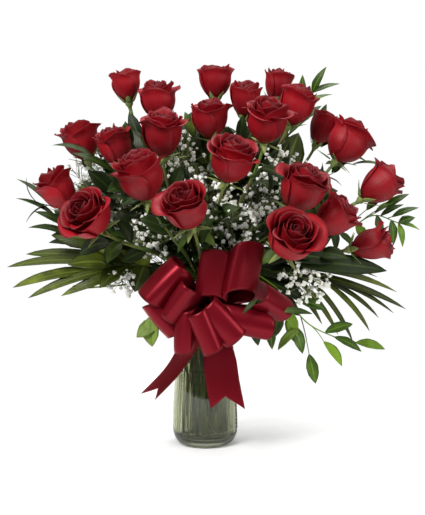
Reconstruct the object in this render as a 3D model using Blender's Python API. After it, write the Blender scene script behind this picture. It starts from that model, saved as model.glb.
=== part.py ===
"""Red roses standing in a clear glass vase, tied with a satin bow.

Twenty-three cut roses, four kinds of greenery and baby's breath stand in a tapering glass vase with
some water in it. A wide ribbon goes round the neck of the vase and is tied in a full bow at the front.
+Z is up, -Y is the front, and the origin is the centre of the underside of the vase. Metres.
"""
import math

import bmesh
import bpy
from mathutils import Matrix, Vector

MM = 0.001

# Vase: the sizes that can be set one by one
VASE_HEIGHT = 228 * MM
BELLY_RADIUS = 44.5 * MM
FOOT_RADIUS = 32 * MM
NECK_RADIUS = 36 * MM
RIM_RADIUS = 43 * MM
GLASS = 3.5 * MM
BASE_GLASS = 8 * MM
CORNER_HEIGHT = 22 * MM
NECK_DROP = 36 * MM
WATER_SHARE = 0.46
VASE_SIDES = 36

# Clearance left between any two pieces that touch
GAP = 0.3 * MM

# Stems
ROSE_STEM_RADIUS = 2.2 * MM
ROSE_STEM_TOP_RADIUS = 4.2 * MM
SPRAY_STEM_RADIUS = 1.6 * MM
STEM_SIDES = 6
SLOT_PITCH = 6.6 * MM
SLOT_WALL_GAP = 1.5 * MM
SLOT_DROP = 13 * MM
STEM_FOOT_HEIGHT = 5 * MM
STEM_FOOT_STEP = 1.5 * MM
STEM_TWIST = math.radians(60)
STEM_FOOT_SPREAD = 1.12
STEM_PULL = 0.9
STEM_TOP_STRAIGHT = 6 * MM
SPRAY_PULL = 1.1
SPRAY_TAPER = 0.35
POUR_SPACE_RADIUS = 9 * MM
POUR_SPACE_INSET = 0.6
SLOT_ROUNDS = 400

# Roses
BLOOM_SIDES = 10
BLOOM_FLOOR = 0.26

# Ribbon
RIBBON_WIDTH = 44 * MM
RIBBON_THICKNESS = 1.2 * MM
BAND_WIDTH = 16 * MM
KNOT_SIZE = (15 * MM, 11 * MM, 13 * MM)
KNOT_STAND_OFF = 16 * MM
KNOT_SIDE = 6 * MM
BAND_RISE = 6 * MM
NOTCH_DEPTH = 17 * MM
NOTCH_REACH = 30 * MM
NOTCH_SHARE = 0.94
LOOP_STEPS = 12
LOOP_START = 0.03
GATHERED_SHARE = 0.4
GATHER_END = 0.7
TAIL_EASE_STEPS = 5

# Leaves
LEAF_THICKNESS = 1.2 * MM
LEAF_FACE = Vector((0, -0.6, 0.8))
TWIG_RADIUS = 0.6 * MM
JOIN_SHARE = 0.995
# Along a leaf: share of its length, share of its width, and rise as a share of its length
LEAF_STATIONS = ((0.0, 0.10, 0.0), (0.25, 0.75, 0.03), (0.55, 1.0, 0.045), (0.82, 0.60, 0.03), (1.0, 0.06, 0.0))

# One row for each rose: centre x, y and height above the vase's rim in mm, how far its face leans from straight up in degrees,
# which way it leans (0 is the front, 90 is +X), width and length in mm, and "bud", "half" or "open".
ROSES = (
    (-108, 45, 258, 9, -90, 40, 45, "bud"),
    (-62, 20, 236, 10, -34, 50, 55, "half"),
    (-53, -62, 190, 13, 0, 52, 60, "open"),
    (14, 30, 262, 3, 0, 46, 48, "bud"),
    (7, -45, 209, 12, -14, 48, 52, "half"),
    (54, 12, 237, 9, 18, 42, 48, "bud"),
    (100, 62, 259, 9, 90, 40, 47, "bud"),
    (123, 12, 229, 23, 69, 50, 56, "half"),
    (80, -60, 206, 21, 23, 54, 58, "open"),
    (163, 50, 200, 24, 84, 43, 48, "bud"),
    (190, 5, 180, 35, 110, 56, 60, "open"),
    (-167, 10, 182, 20, -74, 50, 54, "half"),
    (-118, -22, 174, 18, -72, 45, 54, "half"),
    (-79, -105, 137, 24, -52, 60, 62, "open"),
    (33, -115, 157, 26, 35, 54, 58, "open"),
    (-22, -150, 101, 38, -25, 54, 58, "open"),
    (-192, -30, 117, 34, -77, 47, 58, "half"),
    (-142, -110, 88, 52, -35, 58, 54, "open"),
    (120, -110, 122, 28, 48, 58, 60, "open"),
    (163, -85, 85, 52, 77, 51, 56, "half"),
    (104, -150, 65, 50, 20, 58, 56, "open"),
    (231, -15, 123, 53, 90, 50, 58, "half"),
    (217, -45, 48, 76, 84, 44, 56, "half"),
)

# Outline of a bloom from its underside up: share of its width, share of its length
BLOOM_OUTLINES = {
    "bud": ((0.72, 0.14), (1.0, 0.40), (0.93, 0.70), (0.55, 1.0)),
    "half": ((0.70, 0.14), (0.98, 0.42), (1.0, 0.74), (0.70, 1.0)),
    "open": ((0.66, 0.14), (0.93, 0.40), (1.0, 0.74), (0.78, 1.0)),
}

# One row for each spray: leaf width, route of its stalk above the vase, and its leaves.
# A leaf is the share along the route where it grows, and the place of its tip. All in mm, and
# heights are measured from the vase's rim.
SPRAYS = {
    "palm_left": (15, ((-62, 30, 15), (-100, 30, 10), (-140, 28, 4)), (
        (0.55, (-205, 60, 34)), (0.70, (-250, 40, 30)), (0.85, (-272, 20, 15)),
        (1.0, (-262, 5, -12)), (0.90, (-240, -5, -25)), (0.75, (-195, -5, -23)))),
    "lemon_leaf_left": (34, ((-55, -12, 12), (-88, -18, 18), (-120, -22, 19)), (
        (0.55, (-112, 5, 57)), (0.75, (-165, 2, 44)), (1.0, (-180, -35, 22)),
        (0.80, (-138, -45, -8)))),
    "ruscus_top_right": (14, ((75, 75, 117), (120, 85, 202), (150, 80, 250)), (
        (0.70, (112, 100, 220)), (0.80, (165, 95, 234)), (0.90, (138, 92, 277)), (1.0, (168, 70, 286)),
        (1.0, (188, 76, 264)))),
    "ruscus_far_right": (15, ((120, 20, 47), (190, 15, 62), (228, 12, 82), (262, 10, 72)), (
        (0.62, (205, 15, 102)), (0.72, (245, 12, 117)), (0.80, (275, 8, 112)), (0.88, (240, 8, 52)),
        (0.94, (288, 5, 94)), (1.0, (290, 5, 64)), (1.0, (268, 5, 40)))),
    "palm_right": (13, ((70, -10, 15), (115, -12, 10), (155, -10, -2)), (
        (0.70, (236, 10, 4)), (0.85, (274, -5, -40)), (1.0, (234, -20, -50)), (1.0, (222, -26, -68)),
        (0.9, (200, -32, -82)), (0.75, (158, -30, -58)))),
    "ruscus_low_right": (17, ((58, -32, 12), (98, -42, -13), (135, -44, -56), (178, -44, -78)), (
        (0.52, (88, -60, -58)), (0.62, (128, -62, -93)), (0.78, (146, -50, -136)), (0.85, (180, -60, -110)),
        (0.92, (196, -35, -58)), (1.0, (238, -44, -96)))),
    "gypsophila_left": (7, ((-58, 62, 52), (-110, 70, 102), (-140, 72, 134)), (
        (0.45, (-50, 78, 102)), (0.55, (-120, 45, 92)), (0.70, (-95, 75, 144)), (0.85, (-165, 60, 127)),
        (1.0, (-150, 78, 160)))),
    "gypsophila_right": (7, ((40, 68, 52), (62, 82, 112), (70, 88, 157)), (
        (0.45, (95, 78, 72)), (0.60, (20, 80, 117)), (0.75, (108, 92, 127)), (0.90, (40, 92, 174)),
        (1.0, (84, 92, 187)))),
}
BLOSSOM_SPRAYS = ("gypsophila_left", "gypsophila_right")

# One row for each loop of the bow: where its tip is from the knot in mm, how far it opens in mm,
# and how far it is rolled about its own length in degrees.
BOW_LOOPS = (
    ((2, -48, 68), 30, 0),
    ((48, -56, 74), 30, 12),
    ((102, -18, 12), 32, -50),
    ((66, -52, -16), 26, -12),
    ((28, -58, -38), 26, 10),
    ((-14, -50, -58), 26, -8),
    ((-46, -46, -40), 26, 50),
    ((-84, -14, -30), 24, 10),
    ((-60, -52, 0), 26, 55),
    ((-88, -24, 48), 30, -14),
)

# Ribbon tails: how far each turns about its own length in degrees, and places from the knot in mm
TAILS = {
    "ribbon_tail_left": (-52, ((-9, 9, -13), (-27, 6, -52), (-48, -4, -86), (-80, -6, -120))),
    "ribbon_tail_right": (0, ((8, 10, -7), (10, 0, -56), (15, -4, -98), (29, -8, -138))),
}


def clear_scene():
    """Start from nothing."""
    for old in list(bpy.data.objects):
        bpy.data.objects.remove(old, do_unlink=True)


def make_material(name, colour, roughness, transmission=0.0):
    """A Principled material from a colour, a roughness and how much light goes through it."""
    material = bpy.data.materials.new(name)
    material.use_nodes = True
    shader = material.node_tree.nodes["Principled BSDF"]
    shader.inputs["Base Color"].default_value = (*colour, 1.0)
    shader.inputs["Roughness"].default_value = roughness
    shader.inputs["Metallic"].default_value = 0.0
    shader.inputs["Transmission Weight"].default_value = transmission
    material.diffuse_color = (*colour, 1.0)
    return material


def add_object(name, bm, material):
    """Turn a bmesh into a named object with its own material."""
    bmesh.ops.recalc_face_normals(bm, faces=bm.faces[:])
    mesh = bpy.data.meshes.new(name)
    bm.to_mesh(mesh)
    bm.free()
    mesh.materials.append(material)
    made = bpy.data.objects.new(name, mesh)
    bpy.context.scene.collection.objects.link(made)
    return made


def turned(name, outline, sides, material):
    """A closed solid of revolution about Z, from (radius, height) points that may start or end on it."""
    bm = bmesh.new()
    rings = []
    for radius, height in outline:
        if radius == 0:
            rings.append([bm.verts.new((0, 0, height))])
            continue
        turns = (math.tau * k / sides for k in range(sides))
        rings.append([bm.verts.new((radius * math.cos(a), radius * math.sin(a), height)) for a in turns])
    for low, high in zip(rings, rings[1:]):
        for k in range(sides):
            after = (k + 1) % sides
            corners = [low[k % len(low)], low[after % len(low)], high[after % len(high)], high[k % len(high)]]
            bm.faces.new(list(dict.fromkeys(corners)))
    for end in (rings[0], rings[-1]):
        if len(end) > 1:
            bm.faces.new(end)
    return add_object(name, bm, material)


def smooth_step(share):
    """Ease from 0 to 1."""
    share = min(max(share, 0.0), 1.0)
    return share * share * (3 - 2 * share)


# ---------------------------------------------------------------- vase and water

NECK_HEIGHT = VASE_HEIGHT - NECK_DROP
SLOT_HEIGHT = VASE_HEIGHT - SLOT_DROP
WATER_HEIGHT = WATER_SHARE * VASE_HEIGHT


def vase_radius(height):
    """Outer radius of the vase: rounded foot, long taper to the neck, flared rim."""
    if height < CORNER_HEIGHT:
        rise = 1 - height / CORNER_HEIGHT
        return FOOT_RADIUS + (BELLY_RADIUS - FOOT_RADIUS) * math.sqrt(1 - rise * rise)
    if height < NECK_HEIGHT:
        share = (height - CORNER_HEIGHT) / (NECK_HEIGHT - CORNER_HEIGHT)
        return BELLY_RADIUS + (NECK_RADIUS - BELLY_RADIUS) * smooth_step(share)
    share = (height - NECK_HEIGHT) / (VASE_HEIGHT - NECK_HEIGHT)
    return NECK_RADIUS + (RIM_RADIUS - NECK_RADIUS) * share * share


def heights_between(low, high, steps):
    """Evenly spaced heights from low to high."""
    return [low + (high - low) * k / steps for k in range(steps + 1)]


def wet_heights():
    """Heights up the inside of the vase, from its floor to the water's level."""
    return heights_between(BASE_GLASS, WATER_HEIGHT, 5)


def make_vase(material):
    """Glass vase: outside up to the rim, then back down the inside to its thick floor."""
    low = [CORNER_HEIGHT * (1 - math.cos(math.pi / 2 * k / 4)) for k in range(4)]
    outside = low + heights_between(CORNER_HEIGHT, NECK_HEIGHT, 5)
    outside += heights_between(NECK_HEIGHT, VASE_HEIGHT, 3)[1:]
    inside = heights_between(VASE_HEIGHT, NECK_HEIGHT, 3)[:-1]
    inside += heights_between(NECK_HEIGHT, WATER_HEIGHT, 3)[:-1]
    inside += reversed(wet_heights())
    outline = [(0, 0)] + [(vase_radius(z), z) for z in outside]
    outline += [(vase_radius(z) - GLASS, z) for z in inside] + [(0, BASE_GLASS)]
    return turned("vase", outline, VASE_SIDES, material)


def make_water(material, cutters):
    """Water up to its level, with room for every stem that stands in it."""
    walls = [(vase_radius(z) - GLASS - GAP, max(z, BASE_GLASS + GAP)) for z in wet_heights()]
    outline = [(0, BASE_GLASS + GAP)] + walls + [(0, WATER_HEIGHT)]
    water = turned("water", outline, VASE_SIDES, material)
    cut = water.modifiers.new("room for stems", "BOOLEAN")
    cut.operation = "DIFFERENCE"
    cut.solver = "EXACT"
    cut.operand_type = "COLLECTION"
    cut.collection = cutters
    return water


# ---------------------------------------------------------------- stems

def above_rim(place):
    """A place in metres, from one in mm whose height is measured from the vase's rim."""
    x, y, rise = place
    return Vector((x, y, rise)) * MM + Vector((0, 0, VASE_HEIGHT))


def stem_reach():
    """How far from the axis a stem may stand at SLOT_HEIGHT, clear of the flare and of the neck below."""
    foot_height = BASE_GLASS + STEM_FOOT_HEIGHT
    share = (NECK_HEIGHT - foot_height) / (SLOT_HEIGHT - foot_height)
    foot = Matrix.Rotation(STEM_TWIST, 2) @ Vector((STEM_FOOT_SPREAD, 0))
    at_neck = (Vector((share, 0)) + foot * (1 - share)).length
    at_slot = vase_radius(SLOT_HEIGHT) - GLASS - SLOT_WALL_GAP - ROSE_STEM_RADIUS
    return min(at_slot, (NECK_RADIUS - GLASS - ROSE_STEM_RADIUS) / at_neck)


def neck_slots(aims):
    """A place in the neck for each stem, on the side it leans to, pushed apart until none touch.

    A space at the back is kept free, where water is poured in.
    """
    reach = stem_reach()
    pour_space = Vector((0, reach - POUR_SPACE_RADIUS * POUR_SPACE_INSET))
    slots = [aim * reach for aim in aims]
    for _ in range(SLOT_ROUNDS):
        for i, slot in enumerate(slots):
            for other in slots[:i]:
                apart = slot - other
                short = SLOT_PITCH - apart.length
                if short > 0:
                    push = apart.normalized() * short * 0.5
                    slot += push
                    other -= push
            away = slot - pour_space
            short = POUR_SPACE_RADIUS + ROSE_STEM_RADIUS - away.length
            if short > 0:
                slot += away.normalized() * short
            if slot.length > reach:
                slot *= reach / slot.length
    return slots


def curve_point(start, start_pull, end, end_pull, t):
    """A point on the smooth curve that leaves start along start_pull and comes to end along end_pull."""
    u = 1 - t
    return (start * (u * u * (1 + 2 * t)) + start_pull * (u * u * t)
            + end * (t * t * (3 - 2 * t)) - end_pull * (t * t * u))


def straight_part(slot, order):
    """Foot and neck point of a stem: stems cross the vase aslant, all turned the same way."""
    spin = Matrix.Rotation(STEM_TWIST, 2)
    foot = spin @ slot * STEM_FOOT_SPREAD
    foot_height = BASE_GLASS + STEM_FOOT_HEIGHT + STEM_FOOT_STEP * (order % 3)
    return Vector((foot.x, foot.y, foot_height)), Vector((slot.x, slot.y, SLOT_HEIGHT))


def stem_curve(name, points, radii, material):
    """A tube through the points, with a radius at each of them, closed at both ends."""
    curve = bpy.data.curves.new(name, "CURVE")
    curve.dimensions = "3D"
    curve.bevel_depth = 1.0
    curve.bevel_resolution = (STEM_SIDES - 4) // 2
    curve.use_fill_caps = True
    spline = curve.splines.new("POLY")
    spline.points.add(len(points) - 1)
    for spot, point, radius in zip(spline.points, points, radii):
        spot.co = (*point, 1.0)
        spot.radius = radius
    curve.materials.append(material)
    made = bpy.data.objects.new(name, curve)
    bpy.context.scene.collection.objects.link(made)
    return made


def add_stem_cutter(name, foot, neck, radius, material, cutters):
    """The room that one stem takes up in the water."""
    along = (neck - foot).normalized()
    ends = (foot - along * GAP * 2, foot + along * (WATER_HEIGHT + BASE_GLASS))
    bm = bmesh.new()
    bmesh.ops.create_cone(bm, cap_ends=True, segments=STEM_SIDES, radius1=radius + 2 * GAP,
                          radius2=radius + 2 * GAP, depth=(ends[1] - ends[0]).length)
    turn = along.to_track_quat("Z", "Y").to_matrix().to_4x4()
    bmesh.ops.transform(bm, matrix=Matrix.Translation((ends[0] + ends[1]) / 2) @ turn, verts=bm.verts)
    cutter = add_object(name, bm, material)
    hide_helper(cutter, cutters)


def hide_helper(helper, collection):
    """Keep a helper out of the model: it only cuts or joins."""
    for holder in list(helper.users_collection):
        holder.objects.unlink(helper)
    collection.objects.link(helper)
    helper.display_type = "WIRE"
    helper.hide_render = True


def new_collection(name):
    """An empty collection in the scene."""
    made = bpy.data.collections.new(name)
    bpy.context.scene.collection.children.link(made)
    return made


# ---------------------------------------------------------------- roses

def facing(lean, turn):
    """The way a bloom faces: lean from straight up, turned from the front toward +X."""
    lean, turn = math.radians(lean), math.radians(turn)
    return Vector((math.sin(lean) * math.sin(turn), -math.sin(lean) * math.cos(turn), math.cos(lean)))


def make_rose(number, rose, slot, materials, cutters):
    """One rose: a bloom with a flat underside, and the stem that ends just below it."""
    x, y, z, lean, turn, width, length, stage = rose
    axis = facing(lean, turn)
    length = length * MM
    base = above_rim((x, y, z)) - axis * length / 2
    outline = [(BLOOM_FLOOR * width * MM / 2, 0)]
    outline += [(out * width * MM / 2, up * length) for out, up in BLOOM_OUTLINES[stage]]
    bloom = turned(f"rose_{number:02d}_bloom", outline, BLOOM_SIDES, materials["petal"])
    bloom.rotation_mode = "QUATERNION"
    bloom.rotation_quaternion = axis.to_track_quat("Z", "Y")
    bloom.location = base

    foot, neck = straight_part(slot, number)
    top = base - axis * GAP
    pull = (top - neck).length * STEM_PULL
    start_pull = (neck - foot).normalized() * pull
    points = [foot + (neck - foot) * k / 3 for k in range(3)]
    points += [curve_point(neck, start_pull, top, axis * pull, k / 9) for k in range(10)]
    points.insert(-1, top - axis * STEM_TOP_STRAIGHT)
    radii = [ROSE_STEM_RADIUS] * (len(points) - 1) + [ROSE_STEM_TOP_RADIUS]
    stem_curve(f"rose_{number:02d}_stem", points, radii, materials["stem"])
    add_stem_cutter(f"cut_{number:02d}", foot, neck, ROSE_STEM_RADIUS, materials["stem"], cutters)


# ---------------------------------------------------------------- sprays

def add_leaf(name, base, tip, width, material, joined):
    """A thin closed blade from base to tip, a little arched, facing up and to the front."""
    along = tip - base
    across = along.cross(LEAF_FACE).normalized()
    up = across.cross(along).normalized()
    bm = bmesh.new()
    rings = []
    for share, spread, arch in LEAF_STATIONS:
        middle = base + along * share + up * arch * along.length
        side = across * width / 2 * spread
        thick = up * LEAF_THICKNESS / 2
        rings.append([bm.verts.new(middle + offset) for offset in (side, thick, -side, -thick)])
    for low, high in zip(rings, rings[1:]):
        for k in range(4):
            after = (k + 1) % 4
            bm.faces.new((low[k], low[after], high[after], high[k]))
    bm.faces.new(rings[0])
    bm.faces.new(rings[-1])
    hide_helper(add_object(name, bm, material), joined)


def add_twig(name, base, tip, radius, material, joined):
    """A thin twig of baby's breath with a knob of blossom at its end."""
    along = tip - base
    turn = along.to_track_quat("Z", "Y").to_matrix().to_4x4()
    bm = bmesh.new()
    bmesh.ops.create_cone(bm, cap_ends=True, segments=4, radius1=TWIG_RADIUS, radius2=TWIG_RADIUS,
                          depth=along.length, matrix=Matrix.Translation(base + along / 2) @ turn)
    hide_helper(add_object(name + "_twig", bm, material), joined)
    bm = bmesh.new()
    bmesh.ops.create_icosphere(bm, subdivisions=1, radius=radius, matrix=Matrix.Translation(tip))
    hide_helper(add_object(name + "_knob", bm, material), joined)


def place_along(points, share):
    """The place at a share of the way along a row of points."""
    spans = [(b - a).length for a, b in zip(points, points[1:])]
    left = share * sum(spans)
    for start, end, span in zip(points, points[1:], spans):
        if left <= span:
            return start + (end - start) * left / span
        left -= span
    return points[-1].copy()


def make_spray(name, order, slot, materials, cutters):
    """One spray: a stalk that stands in the vase, joined with its leaves or its knobs of blossom."""
    width, route, leaves = SPRAYS[name]
    foot, neck = straight_part(slot, order)
    stops = [above_rim(place) for place in route]
    out = stops[0] - neck
    points = [foot + (neck - foot) * k / 3 for k in range(3)]
    pull = (neck - foot).normalized() * out.length * SPRAY_PULL
    leave = (stops[1] - stops[0]).normalized() * out.length
    points += [curve_point(neck, pull, stops[0], leave, k / 5) for k in range(6)]
    for before, start, end, after in zip([neck] + stops, stops, stops[1:], stops[2:] + [stops[-1]]):
        start_pull = (end - before) / 2
        end_pull = (after - start) / 2
        points += [curve_point(start, start_pull, end, end_pull, k / 3) for k in range(1, 4)]
    blossom = name in BLOSSOM_SPRAYS
    colour = materials["blossom"] if blossom else materials["leaf"]
    thin = [SPRAY_STEM_RADIUS * (1 - SPRAY_TAPER * k / (len(points) - 1)) for k in range(len(points))]
    stalk = stem_curve(name + "_stalk", points, thin, colour)
    mesh = bpy.data.meshes.new_from_object(stalk)
    bpy.data.objects.remove(stalk, do_unlink=True)
    spray = bpy.data.objects.new(name, mesh)
    bpy.context.scene.collection.objects.link(spray)

    joined = new_collection(name + "_joined")
    above = points[3:]
    for k, (share, tip) in enumerate(leaves):
        base = place_along(above, share * JOIN_SHARE)
        grow = add_twig if blossom else add_leaf
        grow(f"{name}_{k}", base, above_rim(tip), width * MM, colour, joined)
    join = spray.modifiers.new("leaves", "BOOLEAN")
    join.operation = "UNION"
    join.solver = "EXACT"
    join.operand_type = "COLLECTION"
    join.collection = joined
    add_stem_cutter(f"cut_{name}", foot, neck, SPRAY_STEM_RADIUS, colour, cutters)
    return spray


# ---------------------------------------------------------------- ribbon

def knot_place():
    """Where the knot sits, just in front of the rim of the vase."""
    return Vector((KNOT_SIDE, -(RIM_RADIUS + KNOT_STAND_OFF), NECK_HEIGHT + BAND_RISE))


def ribbon_strip(name, centres, sides, widths, material):
    """A flat strip along the centres; each side is the way its width lies. Closed at both ends."""
    bm = bmesh.new()
    rings = []
    for k, (centre, side, width) in enumerate(zip(centres, sides, widths)):
        ahead = centres[min(k + 1, len(centres) - 1)] - centres[max(k - 1, 0)]
        face = ahead.cross(side).normalized() * RIBBON_THICKNESS / 2
        edge = side.normalized() * width / 2
        corners = (centre + edge + face, centre - edge + face, centre - edge - face, centre + edge - face)
        rings.append([bm.verts.new(corner) for corner in corners])
    for low, high in zip(rings, rings[1:]):
        for k in range(4):
            after = (k + 1) % 4
            bm.faces.new((low[k], low[after], high[after], high[k]))
    bm.faces.new(rings[0])
    bm.faces.new(rings[-1])
    return add_object(name, bm, material)


def add_bow_loop(name, knot, loop, material, joined):
    """One loop: the ribbon runs out from the knot, turns round at the tip and comes back."""
    tip, opening, roll = loop
    out = Vector(tip) * MM
    along = out.normalized()
    flat = along.cross(Vector((0, 1, 0))).normalized()
    across = Matrix.Rotation(math.radians(roll), 3, along) @ flat
    lift = along.cross(across)
    centres, sides, widths = [], [], []
    for k in range(LOOP_STEPS + 1):
        t = LOOP_START + (1 - 2 * LOOP_START) * k / LOOP_STEPS
        far = math.sin(math.pi * t)
        centres.append(knot + out * far + lift * opening * MM / 2 * math.sin(math.tau * t))
        sides.append(across)
        widths.append(RIBBON_WIDTH * (GATHERED_SHARE + (1 - GATHERED_SHARE) * smooth_step(far / GATHER_END)))
    hide_helper(ribbon_strip(name, centres, sides, widths, material), joined)


def make_bow(material):
    """The bow: a knot with all its loops joined to it."""
    knot = knot_place()
    joined = new_collection("bow_loops")
    bm = bmesh.new()
    bmesh.ops.create_icosphere(bm, subdivisions=2, radius=1.0)
    bmesh.ops.scale(bm, vec=KNOT_SIZE, verts=bm.verts)
    bmesh.ops.translate(bm, vec=knot, verts=bm.verts)
    bow = add_object("ribbon_bow", bm, material)
    for k, loop in enumerate(BOW_LOOPS):
        add_bow_loop(f"bow_loop_{k}", knot, loop, material, joined)
    join = bow.modifiers.new("loops", "BOOLEAN")
    join.operation = "UNION"
    join.solver = "EXACT"
    join.operand_type = "COLLECTION"
    join.collection = joined
    return bow


def make_band(material):
    """The ribbon round the neck of the vase, behind the knot."""
    middle = NECK_HEIGHT + BAND_RISE
    heights = heights_between(middle - BAND_WIDTH / 2, middle + BAND_WIDTH / 2, 4)
    inner = [(vase_radius(z) + 2 * GAP, z) for z in heights]
    outer = [(vase_radius(z) + 2 * GAP + RIBBON_THICKNESS, z) for z in reversed(heights)]
    bm = bmesh.new()
    rings = []
    for k in range(VASE_SIDES):
        a = math.tau * k / VASE_SIDES
        rings.append([bm.verts.new((r * math.cos(a), r * math.sin(a), z)) for r, z in inner + outer])
    for low, high in zip(rings, rings[1:] + rings[:1]):
        for k in range(len(low)):
            after = (k + 1) % len(low)
            bm.faces.new((low[k], low[after], high[after], high[k]))
    return add_object("ribbon_neck_band", bm, material)


def make_tail(name, material):
    """A loose end of the ribbon, cut to a swallow tail."""
    knot = knot_place()
    roll, places = TAILS[name]
    stops = [knot + Vector(place) * MM for place in places]
    centres = []
    for before, start, end, after in zip(stops[:1] + stops, stops, stops[1:], stops[2:] + stops[-1:]):
        centres += [curve_point(start, (end - before) / 2, end, (after - start) / 2, k / 3) for k in range(3)]
    centres.append(stops[-1])
    run = stops[-1] - stops[0]
    flat = run.cross(Vector((0, 1, 0))).normalized()
    eased = [smooth_step(k / TAIL_EASE_STEPS) for k in range(len(centres))]
    widths = [RIBBON_WIDTH * (GATHERED_SHARE + (1 - GATHERED_SHARE) * share) for share in eased]
    sides = [Matrix.Rotation(math.radians(roll) * share, 3, run) @ flat for share in eased]
    tail = ribbon_strip(name, centres, sides, widths, material)
    notch(tail, stops[-1], sides[-1], (stops[-1] - stops[-2]).normalized())
    return tail


def notch(tail, end, side, along):
    """Cut the V out of the end of a tail."""
    face = side.cross(along).normalized() * NOTCH_REACH
    half = side * RIBBON_WIDTH / 2 * NOTCH_SHARE
    corners = (end + along * MM + half, end + along * MM - half, end - along * NOTCH_DEPTH)
    bm = bmesh.new()
    front = [bm.verts.new(corner + face) for corner in corners]
    back = [bm.verts.new(corner - face) for corner in corners]
    bm.faces.new(front)
    bm.faces.new(back)
    for k in range(3):
        after = (k + 1) % 3
        bm.faces.new((front[k], front[after], back[after], back[k]))
    cutter = add_object(tail.name + "_notch", bm, tail.data.materials[0])
    hide_helper(cutter, new_collection(tail.name + "_cut"))
    cut = tail.modifiers.new("notch", "BOOLEAN")
    cut.operation = "DIFFERENCE"
    cut.solver = "EXACT"
    cut.object = cutter


# ---------------------------------------------------------------- the whole arrangement

def stem_aims():
    """How far, and to which side, each stem leans out of the vase: roses first, then sprays."""
    places = [Vector(rose[:3]) for rose in ROSES]
    places += [Vector(route[-1]) for _, route, _ in SPRAYS.values()]
    aims = []
    for place in places:
        out = place + Vector((0, 0, SLOT_DROP / MM))
        lean = math.atan2(out.xy.length, max(out.z, 0))
        aims.append(out.xy.normalized() * lean / (math.pi / 2))
    return aims


def build():
    """Make every piece."""
    clear_scene()
    materials = {
        "glass": make_material("glass", (0.80, 0.86, 0.84), 0.04, 0.9),
        "water": make_material("water", (0.86, 0.91, 0.88), 0.02, 0.9),
        "petal": make_material("petal", (0.20, 0.008, 0.014), 0.5),
        "stem": make_material("stem", (0.07, 0.13, 0.03), 0.5),
        "leaf": make_material("leaf", (0.05, 0.11, 0.02), 0.45),
        "blossom": make_material("blossom", (0.70, 0.70, 0.62), 0.7),
        "ribbon": make_material("ribbon", (0.30, 0.01, 0.02), 0.35),
    }
    cutters = new_collection("stem_room")
    slots = neck_slots(stem_aims())
    for number, (rose, slot) in enumerate(zip(ROSES, slots), start=1):
        make_rose(number, rose, slot, materials, cutters)
    for order, (name, slot) in enumerate(zip(SPRAYS, slots[len(ROSES):])):
        make_spray(name, order, slot, materials, cutters)
    make_vase(materials["glass"])
    make_water(materials["water"], cutters)
    make_bow(materials["ribbon"])
    make_band(materials["ribbon"])
    for name in TAILS:
        make_tail(name, materials["ribbon"])


build()
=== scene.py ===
import math

import bmesh
import bpy
import numpy as np
from mathutils import Matrix, Vector


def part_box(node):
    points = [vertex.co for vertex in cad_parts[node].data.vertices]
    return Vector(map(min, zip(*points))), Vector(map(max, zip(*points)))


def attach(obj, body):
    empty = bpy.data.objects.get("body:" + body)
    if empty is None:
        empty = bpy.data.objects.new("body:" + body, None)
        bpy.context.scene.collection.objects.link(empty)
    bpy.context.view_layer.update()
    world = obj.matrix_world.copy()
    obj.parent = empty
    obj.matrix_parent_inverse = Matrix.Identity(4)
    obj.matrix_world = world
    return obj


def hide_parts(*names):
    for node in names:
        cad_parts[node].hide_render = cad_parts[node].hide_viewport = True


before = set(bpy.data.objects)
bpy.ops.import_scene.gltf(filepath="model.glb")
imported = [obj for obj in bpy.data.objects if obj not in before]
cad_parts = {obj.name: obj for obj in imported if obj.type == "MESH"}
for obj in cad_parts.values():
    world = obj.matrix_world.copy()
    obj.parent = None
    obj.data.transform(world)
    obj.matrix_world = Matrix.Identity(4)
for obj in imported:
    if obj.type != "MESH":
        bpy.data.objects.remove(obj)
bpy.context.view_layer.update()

# ------------------------------------------------------------------ camera, light and floor
# Eye level is a little above the middle of the bouquet, at arm's length. Soft daylight comes from all
# round, with a broad window-like light at the upper left, one overhead and a weaker one at the right.

LOOK_AT = Vector((0.0101, 0, 0.254))
CAMERA_DISTANCE = 1.35
CAMERA_TILT = math.radians(6)
HALF_VIEW = 0.2575
FLOOR_RADIUS = 0.62
FLOOR_SIDES = 96
# Name, place in metres and power in watts of each lamp, and the width of all of them
LAMPS = (("window", (-0.9, -1.2, 1.5), 38), ("fill", (1.3, -1.0, 0.7), 11), ("top", (0.2, 0.3, 1.9), 20))
LAMP_WIDTH = 0.8
# Brightness of the sky from straight below to straight above
SKY_GREYS = ((0.0, 0.5), (0.48, 0.22), (0.60, 0.42), (1.0, 0.80))
# Sockets of a colour Mix node
SHARE, FIRST, SECOND = 0, 6, 7


def linear(colour):
    """An sRGB hex colour as linear RGBA. A number stands for a grey that is linear already."""
    if not isinstance(colour, str):
        return [colour] * 3 + [1.0]
    shares = [int(colour[k:k + 2], 16) / 255 for k in (1, 3, 5)]
    return [s / 12.92 if s <= 0.04045 else ((s + 0.055) / 1.055) ** 2.4 for s in shares] + [1.0]


def set_inputs(tree, node, inputs):
    """Give a node's inputs values or links. A node given as a value stands for its first live output."""
    for socket, value in inputs.items():
        if isinstance(value, bpy.types.Node):
            value = next(output for output in value.outputs if output.enabled)
        if isinstance(value, bpy.types.NodeSocket):
            tree.links.new(value, node.inputs[socket])
        else:
            node.inputs[socket].default_value = value


def add(tree, kind, inputs=None, stops=(), **settings):
    """Add a node: its settings, its inputs as values or links, and the stops of a colour ramp."""
    made = tree.nodes.new(kind)
    for name, value in settings.items():
        setattr(made, name, value)
    set_inputs(tree, made, inputs or {})
    if stops:
        ramp = made.color_ramp.elements
        while len(ramp) < len(stops):
            ramp.new(0.5)
        for element, (place, colour) in zip(ramp, stops):
            element.position = place
            element.color = linear(colour)
    return made


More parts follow.
